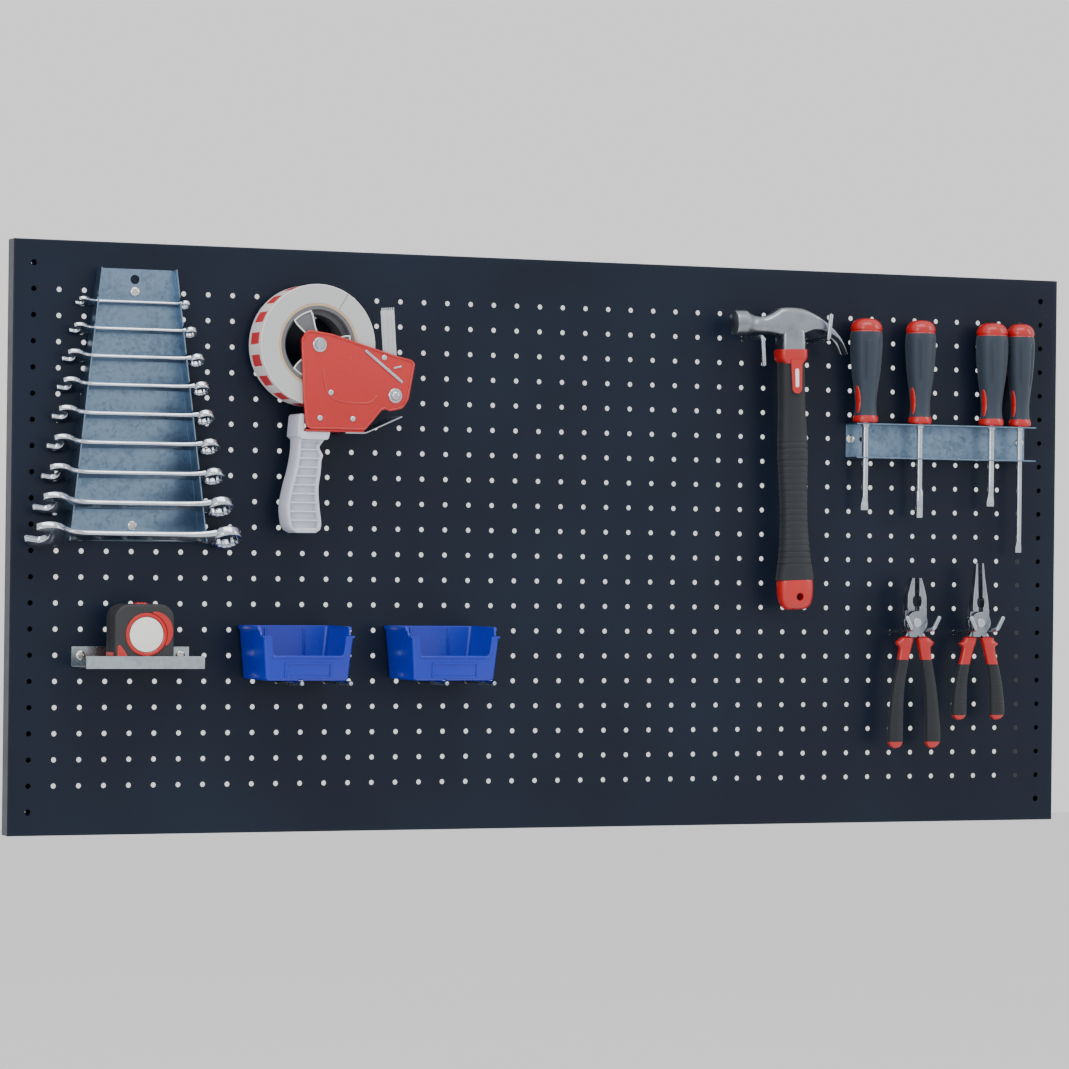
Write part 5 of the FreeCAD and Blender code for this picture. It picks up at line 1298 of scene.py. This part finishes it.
        # thin bars along both edges of each arm and on the rim arc, pale in the grey hub's slot: a
        # painted highlight
        bow = np.linspace(-0.27, 0.27, 30)
        for line in ((out, -waist), (out, waist), (33.6 * np.cos(bow), 33.6 * np.sin(bow))):
            bar = np.stack([line[0], np.full(30, -35.0), line[1]], 1)
            edges.append(moved(sweepRound(bar, 1.5, 12), turn=turned(-angle, "Y")))
    piece("hub_wheel", shells, paint["hub"], body, "hub_grey", ("dispenser_hub",), seat)
    piece("hub_painted_highlight_bars", edges, paint["label"], body, "hub_grey", (), seat)
    # roll: the wound film stands a little proud of its board core
    film = [(40.6, 0.2), (58.6, 0.0), (s["roll"], 0.5), (s["roll"], 35.5), (58.6, 36.0),
            (50, 36.15), (40.6, 35.9)]
    piece("wound_film", [moved(lathe(film, 160, looped=True), turn=faceFront)], paint["tape"],
          body, "tape_side", ("tape_roll",), seat)
    core = [(s["core"] + 0.02, 0.1), (40.7, 0.1), (40.7, 35.7), (s["core"] + 0.02, 35.7)]
    piece("roll_core", [moved(lathe(core, 112, looped=True), turn=faceFront)],
          paint["cardboard"], body, "tape_side", (), seat)
    # roller: six rings on a sleeve
    turns = [(3.07, 1.5), (s["rollerR"] - 0.6, 1.5)]
    for k in range(6):
        low = 1.9 + 5.6 * k
        turns += [(s["rollerR"], low + 0.3), (s["rollerR"], low + 4.1),
                  (s["rollerR"] - 1.4, low + 4.5), (s["rollerR"] - 1.4, low + 5.2)]
    turns = turns[:-2] + [(s["rollerR"] - 0.6, 35.4), (3.07, 35.4)]
    x, z = s["roller"]
    piece("roller_sleeve", [moved(lathe(turns, 64, looped=True), (x, 0, z), faceFront)],
          paint["white"], "tension_roller", "dispenser_white", ("dispenser_roller",), seat)


dispenser()
print("stage: tape dispenser is made")


# open-front bins

def openBin(label, x):
    # a rounded rectangle grows in a straight line from floor to rim, and comes back down inside
    # by the wall's thickness
    s = {"low": (42.0, 70.0), "high": (47.0, 74.0), "tall": 52.0, "wall": 1.8, "corner": 4.0,
         "lip": 1.1, "front": 24.0, "mouth": 39.0, "step": (43.0, -60.0), "holder": (24.0, 15.0)}
    seat = ((x, -21.5, -134.8), None)

    def ring(half, deep, z, grow=0.0):
        w, d = half + grow, deep
        flat = rounded([(-w, -d - grow), (w, -d - grow), (w, grow), (-w, grow)], s["corner"], 8)
        return np.column_stack([flat, np.full(len(flat), z)])

    def wallAt(z, grow=0.0):
        t = z / s["tall"]
        return ring(s["low"][0] + (s["high"][0] - s["low"][0]) * t,
                    s["low"][1] + (s["high"][1] - s["low"][1]) * t, z, grow)

    lip, tall, wall = s["lip"], s["tall"], s["wall"]
    rows = [wallAt(0.0, -1.4), wallAt(0.5, -0.6), wallAt(1.5, 0), wallAt(tall - 4.2, 0),
            wallAt(tall - 3.8, lip * 0.3), wallAt(tall - 3.4, lip), wallAt(tall - 0.6, lip),
            wallAt(tall, lip - 0.5), wallAt(tall, -wall + 0.4), wallAt(tall - 0.5, -wall),
            wallAt(wall + 1.6, -wall), wallAt(wall + 0.4, -wall - 0.6), wallAt(wall, -wall - 2.0)]
    shell = gridShell(np.stack(rows))
    # the front is cut down to a low wall with sloped shoulders, and the sides step down
    low, across = s["front"], s["mouth"]
    mouth = rounded([(-across + 3, low), (across - 3, low), (across, tall + 4),
                     (-across, tall + 4)],
                    (5, 5, 0.5, 0.5), 8)
    front = moved(slab(mouth, 16, 0.05, 1), (0, -72, 0), faceFront)
    stepZ, stepY = s["step"]
    side = rounded([(-90, stepZ), (stepY - 3.5, stepZ), (stepY + 3.5, tall + 6), (-90, tall + 6)],
                   (0.5, 3, 0.5, 0.5), 8)
    step = moved(slab(side, 120, 0.05, 1), (0, 0, 0), turned(90, "Z") @ faceFront)
    piece(label + "_tray", [shell], paint["blue"], label, "bin_blue", (label,), seat,
          cut=[front, step], bevel=0.35, angle=38)
    # a rolled bead on the cut edges, and a holder for a card on the front
    def frontAt(z, grow=0.0):
        return -(s["low"][1] + (s["high"][1] - s["low"][1]) * z / tall) - grow

    bead = rounded([(-across + 2.2, low - 2.6), (across - 2.2, low - 2.6),
                    (across - 2.2, low + 0.2), (-across + 2.2, low + 0.2)], 1.0, 5)
    shells = [moved(slab(bead, 3.2, 0.9), (0, frontAt(low, -0.7), 0), faceFront)]
    for way in (-1, 1):
        line = np.array([(way * 46.2, -58.0, stepZ - 0.6), (way * 46.0, -71.8, stepZ - 0.8)])
        run = line[0] + (line[1] - line[0]) * np.linspace(0, 1, 12)[:, None]
        shells.append(sweepRound(run, 2.2, 14))
        shoulder = np.array([(way * 44.6, -71.9, stepZ - 1.4), (way * 39.8, -72.2, stepZ - 1.0),
                             (way * 38.4, -71.8, 33.0), (way * 37.0, -71.4, 26.0)])
        shells.append(sweepRound(smoothCurve(shoulder, 28), 1.8, 12))
    wide, high = s["holder"]
    z = 10.0
    frameOut = rounded([(-wide, z - high / 2), (wide, z - high / 2), (wide, z + high / 2),
                        (-wide, z + high / 2)], 1.2, 5)
    holder = slab(frameOut, 1.5, 0.4, 3, shrunk(frameOut, 1.8))
    lean = turned(math.degrees(math.atan2(s["high"][1] - s["low"][1], tall)), "X")
    shells.append(moved(moved(holder, (0, -z, 0)), (0, frontAt(z, 0.35), z), lean @ faceFront))
    # two ribs stiffen the back
    for way in (-1, 1):
        rib = rounded([(way * 20 - 1, 4), (way * 20 + 1, 4), (way * 20 + 1, 50),
                       (way * 20 - 1, 50)], 0.6, 4)
        shells.append(moved(slab(rib, 2.0, 0.4), (0, -2.2, 0), faceFront))
    piece(label + "_edges", shells, paint["blue"], label, "bin_blue", (), seat)


for label in ("left_bin", "right_bin"):
    low, high = box(label)
    openBin(label, (low[0] + high[0]) / 2)
print("stage: bins are made")


# floor, light and camera

def stageAndCamera():
    # a wide floor, an even room, three soft lamps, and the camera from its place and its turns
    floor = moved(gridShell(np.array([[[-9000, -9000, 0], [9000, -9000, 0]],
                                      [[-9000, 9000, 0], [9000, 9000, 0]]], float),
                            closedAcross=False), (0, 0, -900))
    ground = meshOf("pale_floor", [floor])
    material, tree, shader, at = emptyMaterial("paleFloor")
    tone = blendColour(tree, noise(tree, at, 1.5, 3.0), (0.80, 0.80, 0.80, 1),
                       (0.84, 0.84, 0.84, 1))
    tree.links.new(tone, shader.inputs["Base Color"])
    shader.inputs["Roughness"].default_value = 0.8
    ground.data.materials.append(material)
    world = bpy.data.worlds.new("paleRoom")
    world.use_nodes = True
    world.node_tree.nodes["Background"].inputs["Color"].default_value = (1.0, 1.0, 1.0, 1)
    world.node_tree.nodes["Background"].inputs["Strength"].default_value = light["room"]
    bpy.context.scene.world = world
    for name, (place, size, power) in lamps.items():
        lamp = bpy.data.lights.new(name, "AREA")
        lamp.shape, lamp.size, lamp.size_y, lamp.energy = "RECTANGLE", size[0], size[1], power
        thing = bpy.data.objects.new(name, lamp)
        thing.location = place
        thing.rotation_mode = "QUATERNION"
        thing.rotation_quaternion = (-Vector(place)).to_track_quat("-Z", "Y")
        bpy.context.scene.collection.objects.link(thing)
    yaw, pitchUp, roll = (math.radians(view[k]) for k in ("yaw", "pitch", "roll"))
    forward = Vector((math.sin(yaw) * math.cos(pitchUp), math.cos(yaw) * math.cos(pitchUp),
                      math.sin(pitchUp)))
    right = Vector((math.cos(yaw), -math.sin(yaw), 0))
    up = right.cross(forward)
    right, up = (right * math.cos(roll) + up * math.sin(roll),
                 up * math.cos(roll) - right * math.sin(roll))
    camera = bpy.data.cameras.new("camera")
    camera.lens, camera.sensor_width = view["lens"], 36.0
    thing = bpy.data.objects.new("camera", camera)
    turn = Matrix((right, up, -forward)).transposed()
    thing.matrix_world = Matrix.Translation(Vector(view["place"])) @ turn.to_4x4()
    bpy.context.scene.collection.objects.link(thing)
    bpy.context.scene.camera = thing


view = {"place": (-1.663, -3.867, -0.012), "yaw": 23.02, "pitch": 0.29, "roll": 0.65, "lens": 140.4}
light = {"room": 1.15}
lamps = {   # place in metres, width and height in metres, power in watts; each looks at the board
    "overhead": ((-0.3, -1.2, 2.4), (2.6, 1.0), 34.0),
    "leftFill": ((-2.6, -2.2, 0.9), (0.9, 1.8), 26.0),
    "rightRim": ((2.4, -1.4, 1.2), (0.5, 1.8), 16.0),
}
stageAndCamera()
print("stage: floor, light and camera are set")
